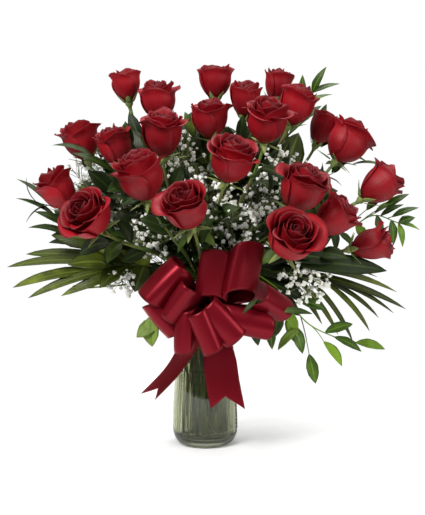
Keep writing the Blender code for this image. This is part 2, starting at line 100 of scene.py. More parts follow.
def start_material(name):
    """A new material: itself, its node tree and its Principled shader."""
    material = bpy.data.materials.new(name)
    material.use_nodes = True
    return material, material.node_tree, material.node_tree.nodes["Principled BSDF"]


def link_object(name, data):
    """A new object in the scene."""
    made = bpy.data.objects.new(name, data)
    bpy.context.scene.collection.objects.link(made)
    return made


camera_data = bpy.data.cameras.new("camera")
camera_data.sensor_fit = "VERTICAL"
camera_data.angle = 2 * math.atan(HALF_VIEW)
camera = link_object("camera", camera_data)
sight = Vector((0, math.cos(CAMERA_TILT), -math.sin(CAMERA_TILT)))
camera.location = LOOK_AT - sight * CAMERA_DISTANCE
camera.rotation_euler = sight.to_track_quat("-Z", "Y").to_euler()
bpy.context.scene.camera = camera
bpy.context.scene.view_settings.view_transform = "Standard"

world = bpy.data.worlds.new("daylight")
world.use_nodes = True
sky_tree = world.node_tree
sky_place = add(sky_tree, "ShaderNodeTexCoord")
sky_split = add(sky_tree, "ShaderNodeSeparateXYZ", {"Vector": sky_place.outputs["Generated"]})
sky_rise = add(sky_tree, "ShaderNodeMapRange", {
    "Value": sky_split.outputs["Z"], "From Min": -1.0, "From Max": 1.0})
sky_grey = add(sky_tree, "ShaderNodeValToRGB", {"Fac": sky_rise}, stops=SKY_GREYS)
sky_seen = add(sky_tree, "ShaderNodeLightPath")
sky_colour = add(sky_tree, "ShaderNodeMix", {
    SHARE: sky_seen.outputs["Is Camera Ray"], FIRST: sky_grey, SECOND: linear(1.0)}, data_type="RGBA")
set_inputs(sky_tree, sky_tree.nodes["Background"], {"Color": sky_colour})
bpy.context.scene.world = world
for name, place, power in LAMPS:
    light = bpy.data.lights.new(name, "AREA")
    light.size = LAMP_WIDTH
    light.energy = power
    lamp = link_object(name, light)
    lamp.location = place
    lamp.rotation_euler = (LOOK_AT - Vector(place)).to_track_quat("-Z", "Y").to_euler()

# Paper: bright, matt, with a barely uneven white
paper, paper_tree, paper_shader = start_material("matt white paper")
paper_noise = add(paper_tree, "ShaderNodeTexNoise", {"Scale": 40.0, "Detail": 3.0})
paper_tone = add(paper_tree, "ShaderNodeValToRGB", {"Fac": paper_noise},
                 stops=((0.3, "#F3F3F2"), (0.7, "#F7F7F6")))
set_inputs(paper_tree, paper_shader, {"Base Color": paper_tone, "Roughness": 0.9})

bpy.ops.mesh.primitive_circle_add(vertices=FLOOR_SIDES, radius=FLOOR_RADIUS, fill_type="NGON")
floor = bpy.context.object
floor.name = "floor"
floor.data.materials.append(paper)

# ------------------------------------------------------------------ vase
# A machine-pressed soda-lime glass vase, nine inches tall: rounded foot, long taper, flared rim.
# The mould gave it shallow upright flutes, and six columns of small raised beads between them.

MM = 0.001
VASE_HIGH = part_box("vase")[1]
VASE_HEIGHT = VASE_HIGH.z
BELLY_RADIUS = VASE_HIGH.x
FOOT_RADIUS = 32 * MM
NECK_RADIUS = 36 * MM
RIM_RADIUS = 43 * MM
GLASS = 3.5 * MM
BASE_GLASS = 8 * MM
BASE_DISH = 0.4 * MM
BASE_FLAT_RADIUS = 20 * MM
CORNER_HEIGHT = 22 * MM
CORNER_STEPS = 10
FLARE_HEIGHT = 36 * MM
NECK_HEIGHT = VASE_HEIGHT - FLARE_HEIGHT
# How far the rounded corner of the inside goes in and down, and its steps
INSIDE_CORNER_IN = 11 * MM
INSIDE_CORNER_DOWN = 13 * MM
INSIDE_CORNER_STEPS = 8
# The push-up under the foot: its depth, its flat radius and the radius where it meets the table
PUSH_UP = 1.2 * MM
PUSH_UP_RADIUS = 24 * MM
STANDING_RADIUS = 27 * MM
# The rounded lip: how far in from the rim, and how far down from the top
LIP = ((0.2 * MM, 1.2 * MM), (1.0 * MM, 0.2 * MM), (GLASS / 2, 0), (GLASS - 0.7 * MM, 0.3 * MM))
LIP_HEIGHT = 1.5 * MM
# A turned outline is closed by a small disc of this radius on its axis
AXIS_DISC = 0.5 * MM
VASE_COLUMNS = 378
WALL_STEP = 1.4 * MM
INSIDE_ROWS = 60
BEAD_COLUMNS = 6
BEAD_PITCH = 4.8 * MM
BEAD_RADIUS = 2.0 * MM
BEAD_RAISE = 1.8 * MM
BEADS_TURNED = math.radians(13)
FLUTES_BETWEEN = 8
FLUTE_DEPTH = 0.25 * MM
# The ground beside the beads is this share of a flute's depth, and this wide to each side
GROUND_SHARE = 0.6
GROUND_WIDTH = 4 * MM
# Where the pattern fades in above the foot and out below the rim, and over what height
PATTERN_FOOT, FOOT_FADE = 10 * MM, 12 * MM
PATTERN_TOP, TOP_FADE = NECK_HEIGHT + 4 * MM, 14 * MM


def smooth_step(share):
    """Ease from 0 to 1, on a number or an array."""
    share = np.clip(share, 0.0, 1.0)
    return share * share * (3 - 2 * share)


def vase_radius(height):
    """Outer radius of the vase at a height."""
    if height < CORNER_HEIGHT:
        rise = 1 - height / CORNER_HEIGHT
        return FOOT_RADIUS + (BELLY_RADIUS - FOOT_RADIUS) * math.sqrt(1 - rise * rise)
    if height < NECK_HEIGHT:
        share = (height - CORNER_HEIGHT) / (NECK_HEIGHT - CORNER_HEIGHT)
        return float(BELLY_RADIUS + (NECK_RADIUS - BELLY_RADIUS) * smooth_step(share))
    share = (height - NECK_HEIGHT) / FLARE_HEIGHT
    return NECK_RADIUS + (RIM_RADIUS - NECK_RADIUS) * share * share


def pressed_relief(height, turn):
    """How far the pressed pattern stands proud of the plain glass."""
    sector = math.tau / BEAD_COLUMNS
    across = (turn + sector / 2) % sector - sector / 2
    fade = smooth_step((height - PATTERN_FOOT) / FOOT_FADE) * smooth_step((PATTERN_TOP - height) / TOP_FADE)
    flutes = np.abs(np.cos(turn * BEAD_COLUMNS * (FLUTES_BETWEEN + 1) / 2))
    row = (height + BEAD_PITCH / 2) % BEAD_PITCH - BEAD_PITCH / 2
    from_bead = np.hypot(across * BELLY_RADIUS, row) / BEAD_RADIUS
    beads = np.sqrt(np.clip(1 - from_bead ** 2, 0, 1)) * BEAD_RAISE
    fluted = smooth_step(np.abs(across) * BELLY_RADIUS / GROUND_WIDTH)
    return fade * (beads - FLUTE_DEPTH * (1 - flutes) * fluted - FLUTE_DEPTH * GROUND_SHARE * (1 - fluted))


def inside_corner(out=0.0, down=0.0):
    """The rounded corner of the vase's inside from its wall down, or a line out and down from it."""
    angles = [k / INSIDE_CORNER_STEPS * math.pi / 2 for k in range(1, INSIDE_CORNER_STEPS)]
    return [(BELLY_RADIUS - GLASS + out - INSIDE_CORNER_IN * (1 - math.cos(angle)),
             CORNER_HEIGHT - (INSIDE_CORNER_DOWN + down) * math.sin(angle)) for angle in angles]


def start_shape():
    """An empty shape that grids of points are added to."""
    return {"points": [], "faces": [], "uvs": [], "tones": []}


def add_grid(shape, grid, tone=0.5, around=False, ends=False):
    """Add rows of points as faces. around joins each row's end to its start, and ends closes the first
    row and the last."""
    grid = np.asarray(grid, float)
    rows, columns = grid.shape[:2]
    first = sum(len(block) for block in shape["points"])
    shape["points"].append(grid.reshape(-1, 3))
    along, across = np.meshgrid(np.linspace(0, 1, rows), np.linspace(0, 1, columns), indexing="ij")
    shape["uvs"].append(np.stack([across, along], -1).reshape(-1, 2))
    shape["tones"].append(np.full(rows * columns, tone))
    index = first + np.arange(rows * columns).reshape(rows, columns)
    after = np.roll(index, -1, axis=1) if around else index[:, 1:]
    before = index if around else index[:, :-1]
    shape["faces"] += np.stack([before[:-1], after[:-1], after[1:], before[1:]], -1).reshape(-1, 4).tolist()
    if ends:
        shape["faces"] += [index[0, ::-1].tolist(), index[-1].tolist()]


def add_piece(name, shape, material, solid=0.0):
    """Make a smooth mesh piece that rides on the arrangement; solid gives a sheet its thickness."""
    mesh = bpy.data.meshes.new(name)
    mesh.from_pydata(np.concatenate(shape["points"]).tolist(), [], shape["faces"])
    corner_points = np.zeros(len(mesh.loops), int)
    mesh.loops.foreach_get("vertex_index", corner_points)
    uv_map = mesh.uv_layers.new(name="along")
    uv_map.data.foreach_set("uv", np.concatenate(shape["uvs"])[corner_points].ravel())
    tone = mesh.attributes.new("tone", "FLOAT", "POINT")
    tone.data.foreach_set("value", np.concatenate(shape["tones"]).astype(np.float32))
    mesh.polygons.foreach_set("use_smooth", [True] * len(mesh.polygons))
    mesh.materials.append(material)
    mesh.update()
    piece = link_object(name, mesh)
    if solid:
        wall = piece.modifiers.new("thickness", "SOLIDIFY")
        wall.thickness = solid
        wall.offset = 0.0
    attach(piece, "root")
    return piece


def turned_rows(outline, turns):
    """Rings of points about Z, from (radius, height) pairs. A radius may differ from turn to turn."""
    return [np.stack([r * np.cos(turns), r * np.sin(turns), np.full_like(turns, z)], -1) for r, z in outline]


# Soda-lime glass: smooth and clear, with the faint grey-green of its iron. Its swirls are about 30 mm.
vase_glass, vase_tree, vase_shader = start_material("pressed soda-lime glass")
glass_swirl = add(vase_tree, "ShaderNodeTexNoise", {"Scale": 30.0, "Detail": 2.0})
glass_tint = add(vase_tree, "ShaderNodeValToRGB", {"Fac": glass_swirl},
                 stops=((0.35, "#BCBE9F"), (0.7, "#CFD1BC")))
glass_wave = add(vase_tree, "ShaderNodeBump", {"Height": glass_swirl, "Strength": 0.12, "Distance": 0.4 * MM})
set_inputs(vase_tree, vase_shader, {
    "Base Color": glass_tint, "Normal": glass_wave, "Roughness": 0.02, "IOR": 1.5,
    "Specular IOR Level": 0.14, "Transmission Weight": 1.0})

vase_turns = np.arange(VASE_COLUMNS) * math.tau / VASE_COLUMNS
pattern_turns = vase_turns - math.pi / 2 - BEADS_TURNED
corner_angles = [math.pi / 2 * k / CORNER_STEPS for k in range(CORNER_STEPS)]
outside_heights = [CORNER_HEIGHT * (1 - math.cos(angle)) for angle in corner_angles]
outside_heights += list(np.arange(CORNER_HEIGHT, VASE_HEIGHT - LIP_HEIGHT, WALL_STEP))
vase_outline = [(AXIS_DISC, PUSH_UP), (PUSH_UP_RADIUS, PUSH_UP), (STANDING_RADIUS, 0)]
vase_outline += [(vase_radius(z) + pressed_relief(z, pattern_turns), z) for z in outside_heights]
vase_outline += [(RIM_RADIUS - inward, VASE_HEIGHT - down) for inward, down in LIP]
inside_heights = np.linspace(VASE_HEIGHT - LIP_HEIGHT, CORNER_HEIGHT, INSIDE_ROWS)
vase_outline += [(vase_radius(z) - GLASS, z) for z in inside_heights]
vase_outline += inside_corner() + [(BASE_FLAT_RADIUS, BASE_GLASS), (AXIS_DISC, BASE_GLASS - BASE_DISH)]
vase_shape = start_shape()
add_grid(vase_shape, turned_rows(vase_outline, vase_turns), around=True, ends=True)
vase = add_piece("glass_vase", vase_shape, vase_glass)
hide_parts("vase")

# ------------------------------------------------------------------ water
# Tap water to just under half the vase's height. It wets the glass, so its edge climbs a little, and
# it reaches just into the wall and the base, so no air shows between water and glass.

WATER_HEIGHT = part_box("water")[1].z
WATER_COLUMNS = 96
WATER_ROWS = 24
WETTED_WALL = 0.15 * MM
WETTED_BASE = 0.1 * MM
# The edge that climbs the glass: how far in from the wall, and how far down from its top
CLIMB = ((1 * MM, 0.7 * MM), (2.5 * MM, 1.3 * MM), (6 * MM, 1.6 * MM))

# Clean water: colourless, a touch green from the stems that stand in it. Against glass it hardly bends
# the light, so its IOR is that of water beside glass rather than beside air.
water_clear, water_tree, water_shader = start_material("tap water")
water_ripple = add(water_tree, "ShaderNodeTexNoise", {"Scale": 12.0, "Detail": 1.0})
water_tint = add(water_tree, "ShaderNodeValToRGB", {"Fac": water_ripple},
                 stops=((0.3, "#E2E6D2"), (0.7, "#EDF0E2")))
set_inputs(water_tree, water_shader, {
    "Base Color": water_tint, "Roughness": 0.0, "IOR": 1.02, "Transmission Weight": 1.0})

water_turns = np.arange(WATER_COLUMNS) * math.tau / WATER_COLUMNS
water_outline = [(AXIS_DISC, BASE_GLASS - BASE_DISH - WETTED_BASE),
                 (BASE_FLAT_RADIUS, BASE_GLASS - WETTED_BASE)]
water_outline += inside_corner(WETTED_WALL, WETTED_BASE)[::-1]
water_outline += [(vase_radius(z) - GLASS + WETTED_WALL, z)
                  for z in np.linspace(CORNER_HEIGHT, WATER_HEIGHT, WATER_ROWS)]
water_edge = vase_radius(WATER_HEIGHT) - GLASS
water_outline += [(water_edge - inward, WATER_HEIGHT - down) for inward, down in CLIMB]
water_outline += [(AXIS_DISC, WATER_HEIGHT - CLIMB[-1][1])]
water_shape = start_shape()
add_grid(water_shape, turned_rows(water_outline, water_turns), around=True, ends=True)
water = add_piece("water_in_vase", water_shape, water_clear)
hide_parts("water")

# ------------------------------------------------------------------ rose stems
# Cut rose stems, 4 to 5 mm thick and stripped of most leaves. They stand aslant in the vase, cross
# in its neck and spread to their blooms. Thorns are left on, and each stem swells under its bloom.

ROSES = 23
STEM_RADIUS = 2.2 * MM
HIP_SWELL, HIP_LENGTH = 1.9 * MM, 5 * MM
STEM_SIDES = 12
BARE_FOOT = 0.05
RING_REACH = 4.6 * MM
THORN_LENGTH = 4.5 * MM
THORN_RADIUS = 0.9 * MM
THORN_SIDES = 5
THORN_SPACING = 46 * MM
THORN_LEAN = math.radians(80)
THORN_TURN = 2.4
# Share of a thorn's length, and its girth there
THORN_TAPER = ((0, 1.0), (0.35, 0.55), (0.7, 0.25), (1, 0.03))
# Sockets of a Random Value node for plain numbers
LEAST, MOST = 2, 3


def ring_centres(node, below=None):
    """Centres of a tube's rings, from its foot up."""
    points = np.array([v.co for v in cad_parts[node].data.vertices])
    points = np.unique(np.round(points, 5), axis=0)
    if below is not None:
        points = points[points[:, 2] < below]
    left = list(range(len(points)))
    centres = []
    while left:
        ring, edge = [left[0]], [left.pop(0)]
        while edge:
            near = [k for k in left if np.linalg.norm(points[k] - points[edge[-1]]) < RING_REACH]
            edge.pop()
            ring += near
            edge += near
            left = [k for k in left if k not in near]
        centres.append(points[ring].mean(0))
    line = [centres.pop(int(np.argmin([c[2] for c in centres])))]
    while centres:
        line.append(centres.pop(int(np.argmin([np.linalg.norm(c - line[-1]) for c in centres]))))
    return np.array(line)


def smooth_line(stops, step=4 * MM):
    """Closely spaced points on a smooth curve through the stops."""
    stops = np.asarray(stops, float)
    before = np.vstack([2 * stops[0] - stops[1], stops, 2 * stops[-1] - stops[-2]])
    line = []
    for k in range(len(stops) - 1):
        a, b, c, d = before[k:k + 4]
        count = max(2, int(np.linalg.norm(c - b) / step))
        t = (np.arange(count) / count)[:, None]
        line.append(b + t * (c - a) / 2 + t ** 2 * (a - 2.5 * b + 2 * c - d / 2)
                    + t ** 3 * (-a / 2 + 1.5 * b - 1.5 * c + d / 2))
    return np.vstack(line + [stops[-1:]])


def curve_of(name, lines, radii):
    """A curve object with one spline for each line of points."""
    curve = bpy.data.curves.new(name, "CURVE")
    curve.dimensions = "3D"
    for line, radius in zip(lines, radii):
        spline = curve.splines.new("POLY")
        spline.points.add(len(line) - 1)
        spline.points.foreach_set("co", np.hstack([line, np.ones((len(line), 1))]).ravel())
        spline.points.foreach_set("radius", radius)
    return link_object(name, curve)


def pattern_object(name, shape):
    """A shape that is only copied from, and is removed afterwards."""
    mesh = bpy.data.meshes.new(name)
    mesh.from_pydata(np.concatenate(shape["points"]).tolist(), [], shape["faces"])
    mesh.update()
    return link_object(name, mesh)


def grown(name, source, tree, values):
    """Run a geometry tree on a source object and keep the result as a plain mesh object."""
    run = source.modifiers.new("growth", "NODES")
    run.node_group = tree
    for item in tree.interface.items_tree:
        if item.item_type == "SOCKET" and item.in_out == "INPUT" and item.name in values:
            run[item.identifier] = values[item.name]
    bpy.context.view_layer.update()
    evaluated = source.evaluated_get(bpy.context.evaluated_depsgraph_get())
    mesh = bpy.data.meshes.new_from_object(evaluated)
    source.modifiers.remove(run)
    bpy.data.objects.remove(source, do_unlink=True)
    mesh.name = name
    piece = link_object(name, mesh)
    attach(piece, "root")
    return piece


def start_tree(name, inputs):
    """A geometry tree with named inputs: the tree, its inputs' sockets and its output node."""
    tree = bpy.data.node_groups.new(name, "GeometryNodeTree")
    tree.interface.new_socket("Geometry", in_out="INPUT", socket_type="NodeSocketGeometry")
    for label, kind in inputs:
        tree.interface.new_socket(label, in_out="INPUT", socket_type="NodeSocket" + kind)
    tree.interface.new_socket("Geometry", in_out="OUTPUT", socket_type="NodeSocketGeometry")
    return tree, tree.nodes.new("NodeGroupInput").outputs, tree.nodes.new("NodeGroupOutput")


def growth_along_stems():
    """Stems as tubes, with thorns or leaves growing along them by turns on either side."""
    tree, given, result = start_tree("growth along stems", (
        ("Growth", "Object"), ("Spacing", "Float"), ("Lean", "Float"), ("Turn each", "Float"),
        ("Bare foot", "Float"), ("Sides", "Int"), ("Seed", "Int"), ("Material", "Material")))
    ring = add(tree, "GeometryNodeCurvePrimitiveCircle", {"Resolution": given["Sides"], "Radius": 1.0})
    radius = add(tree, "GeometryNodeInputRadius")
    tube = add(tree, "GeometryNodeCurveToMesh", {
        "Curve": given["Geometry"], "Profile Curve": ring, "Scale": radius, "Fill Caps": True})
    upper = add(tree, "GeometryNodeTrimCurve", {
        "Curve": given["Geometry"], "Start": given["Bare foot"], "End": 0.97}, mode="FACTOR")
    places = add(tree, "GeometryNodeCurveToPoints", {"Curve": upper, "Length": given["Spacing"]},
                 mode="LENGTH")
    order = add(tree, "GeometryNodeInputIndex")
    wobble = add(tree, "FunctionNodeRandomValue", {LEAST: -0.5, MOST: 0.5, "Seed": given["Seed"]},
                 data_type="FLOAT")
    step = add(tree, "ShaderNodeMath", {0: order, 1: given["Turn each"], 2: wobble}, operation="MULTIPLY_ADD")
    spin = add(tree, "FunctionNodeAxisAngleToRotation", {"Axis": (0, 0, 1), "Angle": step})
    lean = add(tree, "FunctionNodeAxisAngleToRotation", {"Axis": (1, 0, 0), "Angle": given["Lean"]})
    turned = add(tree, "FunctionNodeRotateRotation", {
        "Rotation": places.outputs["Rotation"], "Rotate By": spin}, rotation_space="LOCAL")
    leaning = add(tree, "FunctionNodeRotateRotation", {"Rotation": turned, "Rotate By": lean},
                  rotation_space="LOCAL")
    size = add(tree, "FunctionNodeRandomValue", {LEAST: 0.7, MOST: 1.1, "Seed": given["Seed"]},
               data_type="FLOAT")
    growth = add(tree, "GeometryNodeObjectInfo", {"Object": given["Growth"], "As Instance": True})
    placed = add(tree, "GeometryNodeInstanceOnPoints", {
        "Points": places, "Instance": growth.outputs["Geometry"], "Rotation": leaning, "Scale": size})
    real = add(tree, "GeometryNodeRealizeInstances", {"Geometry": placed})
    both = add(tree, "GeometryNodeJoinGeometry", {"Geometry": tube})
    set_inputs(tree, both, {"Geometry": real})
    smooth = add(tree, "GeometryNodeSetShadeSmooth", {"Geometry": both})
    finished = add(tree, "GeometryNodeSetMaterial", {"Geometry": smooth, "Material": given["Material"]})
    set_inputs(tree, result, {"Geometry": finished})
    return tree


# Rose stem: waxy green bark, browner here and there, with faint lengthwise streaks a millimetre apart.
# Below the neck, inside the glass, it is painted paler and yellower: painted light that stands in for the
# light the glass and water hold back.
bark, bark_tree, bark_shader = start_material("waxy rose stem")
bark_place = add(bark_tree, "ShaderNodeTexCoord").outputs["Object"]
bark_stretch = add(bark_tree, "ShaderNodeMapping", {"Vector": bark_place, "Scale": (1, 1, 0.15)})
bark_streaks = add(bark_tree, "ShaderNodeTexNoise", {"Vector": bark_stretch, "Scale": 900.0, "Detail": 2.0})
bark_patches = add(bark_tree, "ShaderNodeTexNoise", {"Vector": bark_place, "Scale": 28.0})
bark_green = add(bark_tree, "ShaderNodeValToRGB", {"Fac": bark_streaks},
                 stops=((0.3, "#3C521C"), (0.7, "#748A3C")))
bark_brown = add(bark_tree, "ShaderNodeValToRGB", {"Fac": bark_patches}, stops=((0.52, 0.0), (0.72, 0.75)))
bark_aged = add(bark_tree, "ShaderNodeMix", {
    SHARE: bark_brown, FIRST: bark_green, SECOND: linear("#6A4C26")}, data_type="RGBA")
bark_split = add(bark_tree, "ShaderNodeSeparateXYZ", {"Vector": bark_place})
# Painted light: below the neck the bark is mixed towards a pale yellow-green, as if lit inside the vase
bark_painted_light_in_vase = add(bark_tree, "ShaderNodeMapRange", {
    "Value": bark_split.outputs["Z"], "From Min": 0.18, "From Max": 0.24, "To Min": 0.8, "To Max": 0.0})
bark_colour = add(bark_tree, "ShaderNodeMix", {
    SHARE: bark_painted_light_in_vase, FIRST: bark_aged, SECOND: linear("#949C2E")}, data_type="RGBA")
bark_bump = add(bark_tree, "ShaderNodeBump", {"Height": bark_streaks, "Strength": 0.3, "Distance": 0.2 * MM})
set_inputs(bark_tree, bark_shader, {"Base Color": bark_colour, "Normal": bark_bump, "Roughness": 0.42})

thorn_shape = start_shape()
thorn_turns = np.arange(THORN_SIDES) * math.tau / THORN_SIDES
thorn_rows = []
for share, girth in THORN_TAPER:
    ring = np.stack([np.cos(thorn_turns), np.sin(thorn_turns) * 1.6, np.zeros(THORN_SIDES)], -1)
    thorn_rows.append(ring * girth * THORN_RADIUS + np.array([0, 0.25 * share * share, share]) * THORN_LENGTH)
add_grid(thorn_shape, thorn_rows, around=True, ends=True)
thorn = pattern_object("thorn", thorn_shape)

stem_growth = growth_along_stems()
stem_lines, stem_girths, bloom_bases, bloom_axes = [], [], [], []
for number in range(1, ROSES + 1):
    centres = ring_centres(f"rose_{number:02d}_stem")
    axis = (centres[-1] - centres[-2]) / np.linalg.norm(centres[-1] - centres[-2])
    bloom_bases.append(centres[-1])
    bloom_axes.append(axis)
    line = smooth_line(centres)
    to_top = np.linalg.norm(line - centres[-1], axis=1)
    stem_lines.append(line)
    stem_girths.append(STEM_RADIUS * (1 + 0.12 * np.sin(to_top * 70 + number))
                       + HIP_SWELL * np.exp(-(to_top / HIP_LENGTH) ** 2))
rose_stems = grown("rose_stems", curve_of("stem_lines", stem_lines, stem_girths), stem_growth, {
    "Growth": thorn, "Spacing": THORN_SPACING, "Lean": THORN_LEAN, "Turn each": THORN_TURN,
    "Bare foot": BARE_FOOT, "Sides": STEM_SIDES, "Seed": 3, "Material": bark})
bpy.data.objects.remove(thorn, do_unlink=True)
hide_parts(*[f"rose_{number:02d}_stem" for number in range(1, ROSES + 1)])

# ------------------------------------------------------------------ rose blooms
# Florist's red roses. Each bloom is a spiral of soft petals: tight and upright in the heart, wider
# and looser outside, where the rims roll back. Buds are still closed, and open ones show the spiral.

PETAL_THICKNESS = 0.45 * MM
PETAL_ROWS = 18
PETAL_COLUMNS = 15
# Each round of petals starts this much further round than the one inside it
SPIRAL_TURN = math.tau * 0.382
# A petal's reach from the axis, as shares of the bloom's radius: at its foot, and from there on
PETAL_FOOT, PETAL_SPREAD = 0.06, 0.88
# Veins drawn across a petal, fewer and coarser than the real ones, so that they show
VEINS_ACROSS = 34
OPENNESS = ("bud", "half", "open", "bud", "half", "bud", "bud", "half", "open", "bud", "open", "half",
            "half", "open", "open", "open", "half", "open", "open", "half", "open", "half", "half")

# Rounds of petals from the heart out: how many, share of the radius, share of the height, half the
# angle a petal spans, how far its rim rolls back, and how much one side tucks under the next petal.
PETAL_ROUNDS = {
    "bud": ((3, 0.24, 0.93, 130, 0, 0.30), (3, 0.44, 0.98, 112, 0, 0.22), (3, 0.64, 1.00, 98, 4, 0.15),
            (3, 0.82, 0.98, 88, 8, 0.10), (3, 0.97, 0.93, 80, 17, 0.06)),
    "half": ((3, 0.17, 0.91, 140, 0, 0.35), (3, 0.32, 0.96, 122, 0, 0.26), (3, 0.48, 1.00, 104, 6, 0.20),
             (4, 0.64, 0.99, 92, 14, 0.14), (3, 0.81, 0.96, 86, 26, 0.10), (3, 0.97, 0.89, 80, 38, 0.07)),
    "open": ((3, 0.15, 0.90, 140, 0, 0.36), (3, 0.27, 0.94, 126, 0, 0.28), (3, 0.40, 0.98, 108, 6, 0.22),
             (4, 0.54, 1.00, 94, 14, 0.16), (4, 0.69, 0.98, 86, 26, 0.12), (3, 0.84, 0.94, 82, 40, 0.09),
             (3, 0.97, 0.85, 80, 58, 0.06)),
}
# Slope of a petal from its foot to its rim, in degrees from the bloom's axis
HEART_SLOPE = ((0, 62), (0.12, 34), (0.35, 7), (0.7, -9), (1, -20))
OUTER_SLOPES = {
    "bud": ((0, 58), (0.14, 34), (0.35, 19), (0.6, 9), (0.82, -3), (1, 5)),
    "half": ((0, 62), (0.14, 40), (0.36, 24), (0.6, 9), (0.82, -8), (1, 7)),
    "open": ((0, 66), (0.14, 45), (0.36, 26), (0.58, 8), (0.8, -9), (1, 10)),
}


def petal_grid(radius, height, half_angle, roll, tuck, turn, outward, outer_slope, luck):
    """Points of one petal in the bloom's own frame, foot first."""
    u = np.linspace(-1, 1, PETAL_COLUMNS)[None, :]
    v = np.linspace(0, 1, PETAL_ROWS)[:, None]
    reach = v * (1 - 0.17 * np.abs(u) ** 2.6 + 0.03 * np.exp(-(u / 0.16) ** 2))
    heart = np.interp(reach, *zip(*HEART_SLOPE))
    outer = np.interp(reach, *zip(*outer_slope))
    rolled = smooth_step((reach - 0.70) / 0.28) * (0.45 + 0.55 * np.clip(np.abs(u) / 0.55, 0, 1))
    slope = np.radians(heart * (1 - outward) + outer * outward + roll * rolled)
    step = np.diff(reach, axis=0, prepend=0)
    out = np.cumsum(np.sin(slope) * step, axis=0)
    up = np.cumsum(np.cos(slope) * step, axis=0)
    middle = PETAL_COLUMNS // 2
    widest = out[:int(PETAL_ROWS * 0.75), middle].max()
    out = PETAL_FOOT * radius + PETAL_SPREAD * radius * out / widest
    up = up / up[:, middle].max() * height
    wide = (0.55 + 0.45 * smooth_step(v / 0.4)) * np.sqrt(1 - 0.35 * np.clip((v - 0.55) / 0.45, 0, 1) ** 2)
    around = turn + np.radians(half_angle) * u * wide
    out = out * (1 + tuck * u) + radius * 0.03 * np.sin(3.2 * u + luck) * v ** 2
    out = out + radius * 0.022 * np.sin(5.5 * u + 4 * v + 3 * luck) * v
    up = up + height * 0.022 * np.sin(3.4 * u + 2 * luck) * v ** 3
    return np.stack([out * np.cos(around), out * np.sin(around), up], -1)


def frame_of(axis):
    """Rotation that takes +Z to the axis."""
    return np.array(Vector(axis).to_track_quat("Z", "Y").to_matrix())


# Rose petal: velvety deep crimson, with fine lengthwise veins and a soft sheen. Painted shade darkens it
# towards the heart of the bloom and towards the foot of each petal.
petal_velvet, petal_tree, petal_shader = start_material("velvety rose petal")
petal_uv = add(petal_tree, "ShaderNodeUVMap", uv_map="along")
petal_tone = add(petal_tree, "ShaderNodeAttribute", attribute_name="tone")
petal_split = add(petal_tree, "ShaderNodeSeparateXYZ", {"Vector": petal_uv})
petal_height = petal_split.outputs["Y"]
# Painted shade: darker towards the foot of each petal, and with the tone, which is lower on inner rounds
petal_painted_shade_and_tone = add(petal_tree, "ShaderNodeMath", {0: petal_height, 1: 0.22, 2: petal_tone.outputs["Fac"]},
                operation="MULTIPLY_ADD")
petal_colour = add(petal_tree, "ShaderNodeValToRGB", {"Fac": petal_painted_shade_and_tone},
                   stops=((0.12, "#2C0105"), (0.45, "#66040E"), (0.75, "#8C0715"), (1.0, "#A90D1E")))
petal_stretch = add(petal_tree, "ShaderNodeMapping", {"Vector": petal_uv, "Scale": (VEINS_ACROSS, 2.2, 1)})
petal_veins = add(petal_tree, "ShaderNodeTexNoise", {"Vector": petal_stretch, "Scale": 1.0, "Detail": 3.0})
petal_bump = add(petal_tree, "ShaderNodeBump", {"Height": petal_veins, "Strength": 0.5, "Distance": 0.8 * MM})
petal_veined = add(petal_tree, "ShaderNodeMix", {
    SHARE: 0.16, FIRST: petal_colour, SECOND: petal_veins.outputs["Color"]},
    data_type="RGBA", blend_type="SOFT_LIGHT")
petal_edge = add(petal_tree, "ShaderNodeMapRange", {
    "Value": petal_height, "From Min": 0.93, "From Max": 1.0, "To Min": 0.0, "To Max": 0.55})
petal_edged = add(petal_tree, "ShaderNodeMix", {
    SHARE: petal_edge, FIRST: petal_veined, SECOND: linear("#3A0309")}, data_type="RGBA")
set_inputs(petal_tree, petal_shader, {
    "Base Color": petal_edged, "Normal": petal_bump, "Roughness": 0.5, "Specular IOR Level": 0.24,
    "Sheen Weight": 0.05, "Sheen Roughness": 0.35, "Sheen Tint": linear("#E04050")})

bloom_sizes = []
for number in range(1, ROSES + 1):
    base, axis = bloom_bases[number - 1], bloom_axes[number - 1]
    points = np.array([v.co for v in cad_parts[f"rose_{number:02d}_bloom"].data.vertices]) - base
    length = (points @ axis).max()
    width = 2 * np.linalg.norm(points - np.outer(points @ axis, axis), axis=1).max()
    bloom_sizes.append((width, length))
    luck = np.random.default_rng(100 + number)
    shape = start_shape()
    turn = luck.uniform(0, math.tau)
    openness = OPENNESS[number - 1]
    rounds = PETAL_ROUNDS[openness]
    for order, (count, radius, height, half_angle, roll, tuck) in enumerate(rounds):
        turn += SPIRAL_TURN
        outward = order / (len(rounds) - 1)
        for k in range(count):
            vary = luck.uniform(-1, 1, 5)
            grid = petal_grid(
                radius * width / 2 * (1 + 0.03 * vary[0]), height * length * (1 + 0.05 * vary[1]),
                half_angle * (1 + 0.08 * vary[2]), roll * (1 + 0.6 * vary[3]), tuck,
                turn + math.tau * k / count + 0.2 * vary[4], outward, OUTER_SLOPES[openness],
                luck.uniform(0, 6))
            # Inner rounds get a lower tone, which is painted shade in the heart of the bloom; the rest
            # differs at random
            tone = 0.18 + 0.38 * outward + 0.10 * vary[0]
            add_grid(shape, grid @ frame_of(axis).T + base, tone=tone)
    bloom = add_piece(f"rose_{number:02d}_petals", shape, petal_velvet, solid=PETAL_THICKNESS)
    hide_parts(f"rose_{number:02d}_bloom")

# ------------------------------------------------------------------ calyxes
# Under each bloom the stem swells to a green hip, with five pointed sepals. On a bud they hug the
# petals, and on an open rose they bend out and down.

SEPAL_LEAN = {"bud": 22, "half": 55, "open": 100}
SEPALS = 5
SEPAL_STEPS = 9
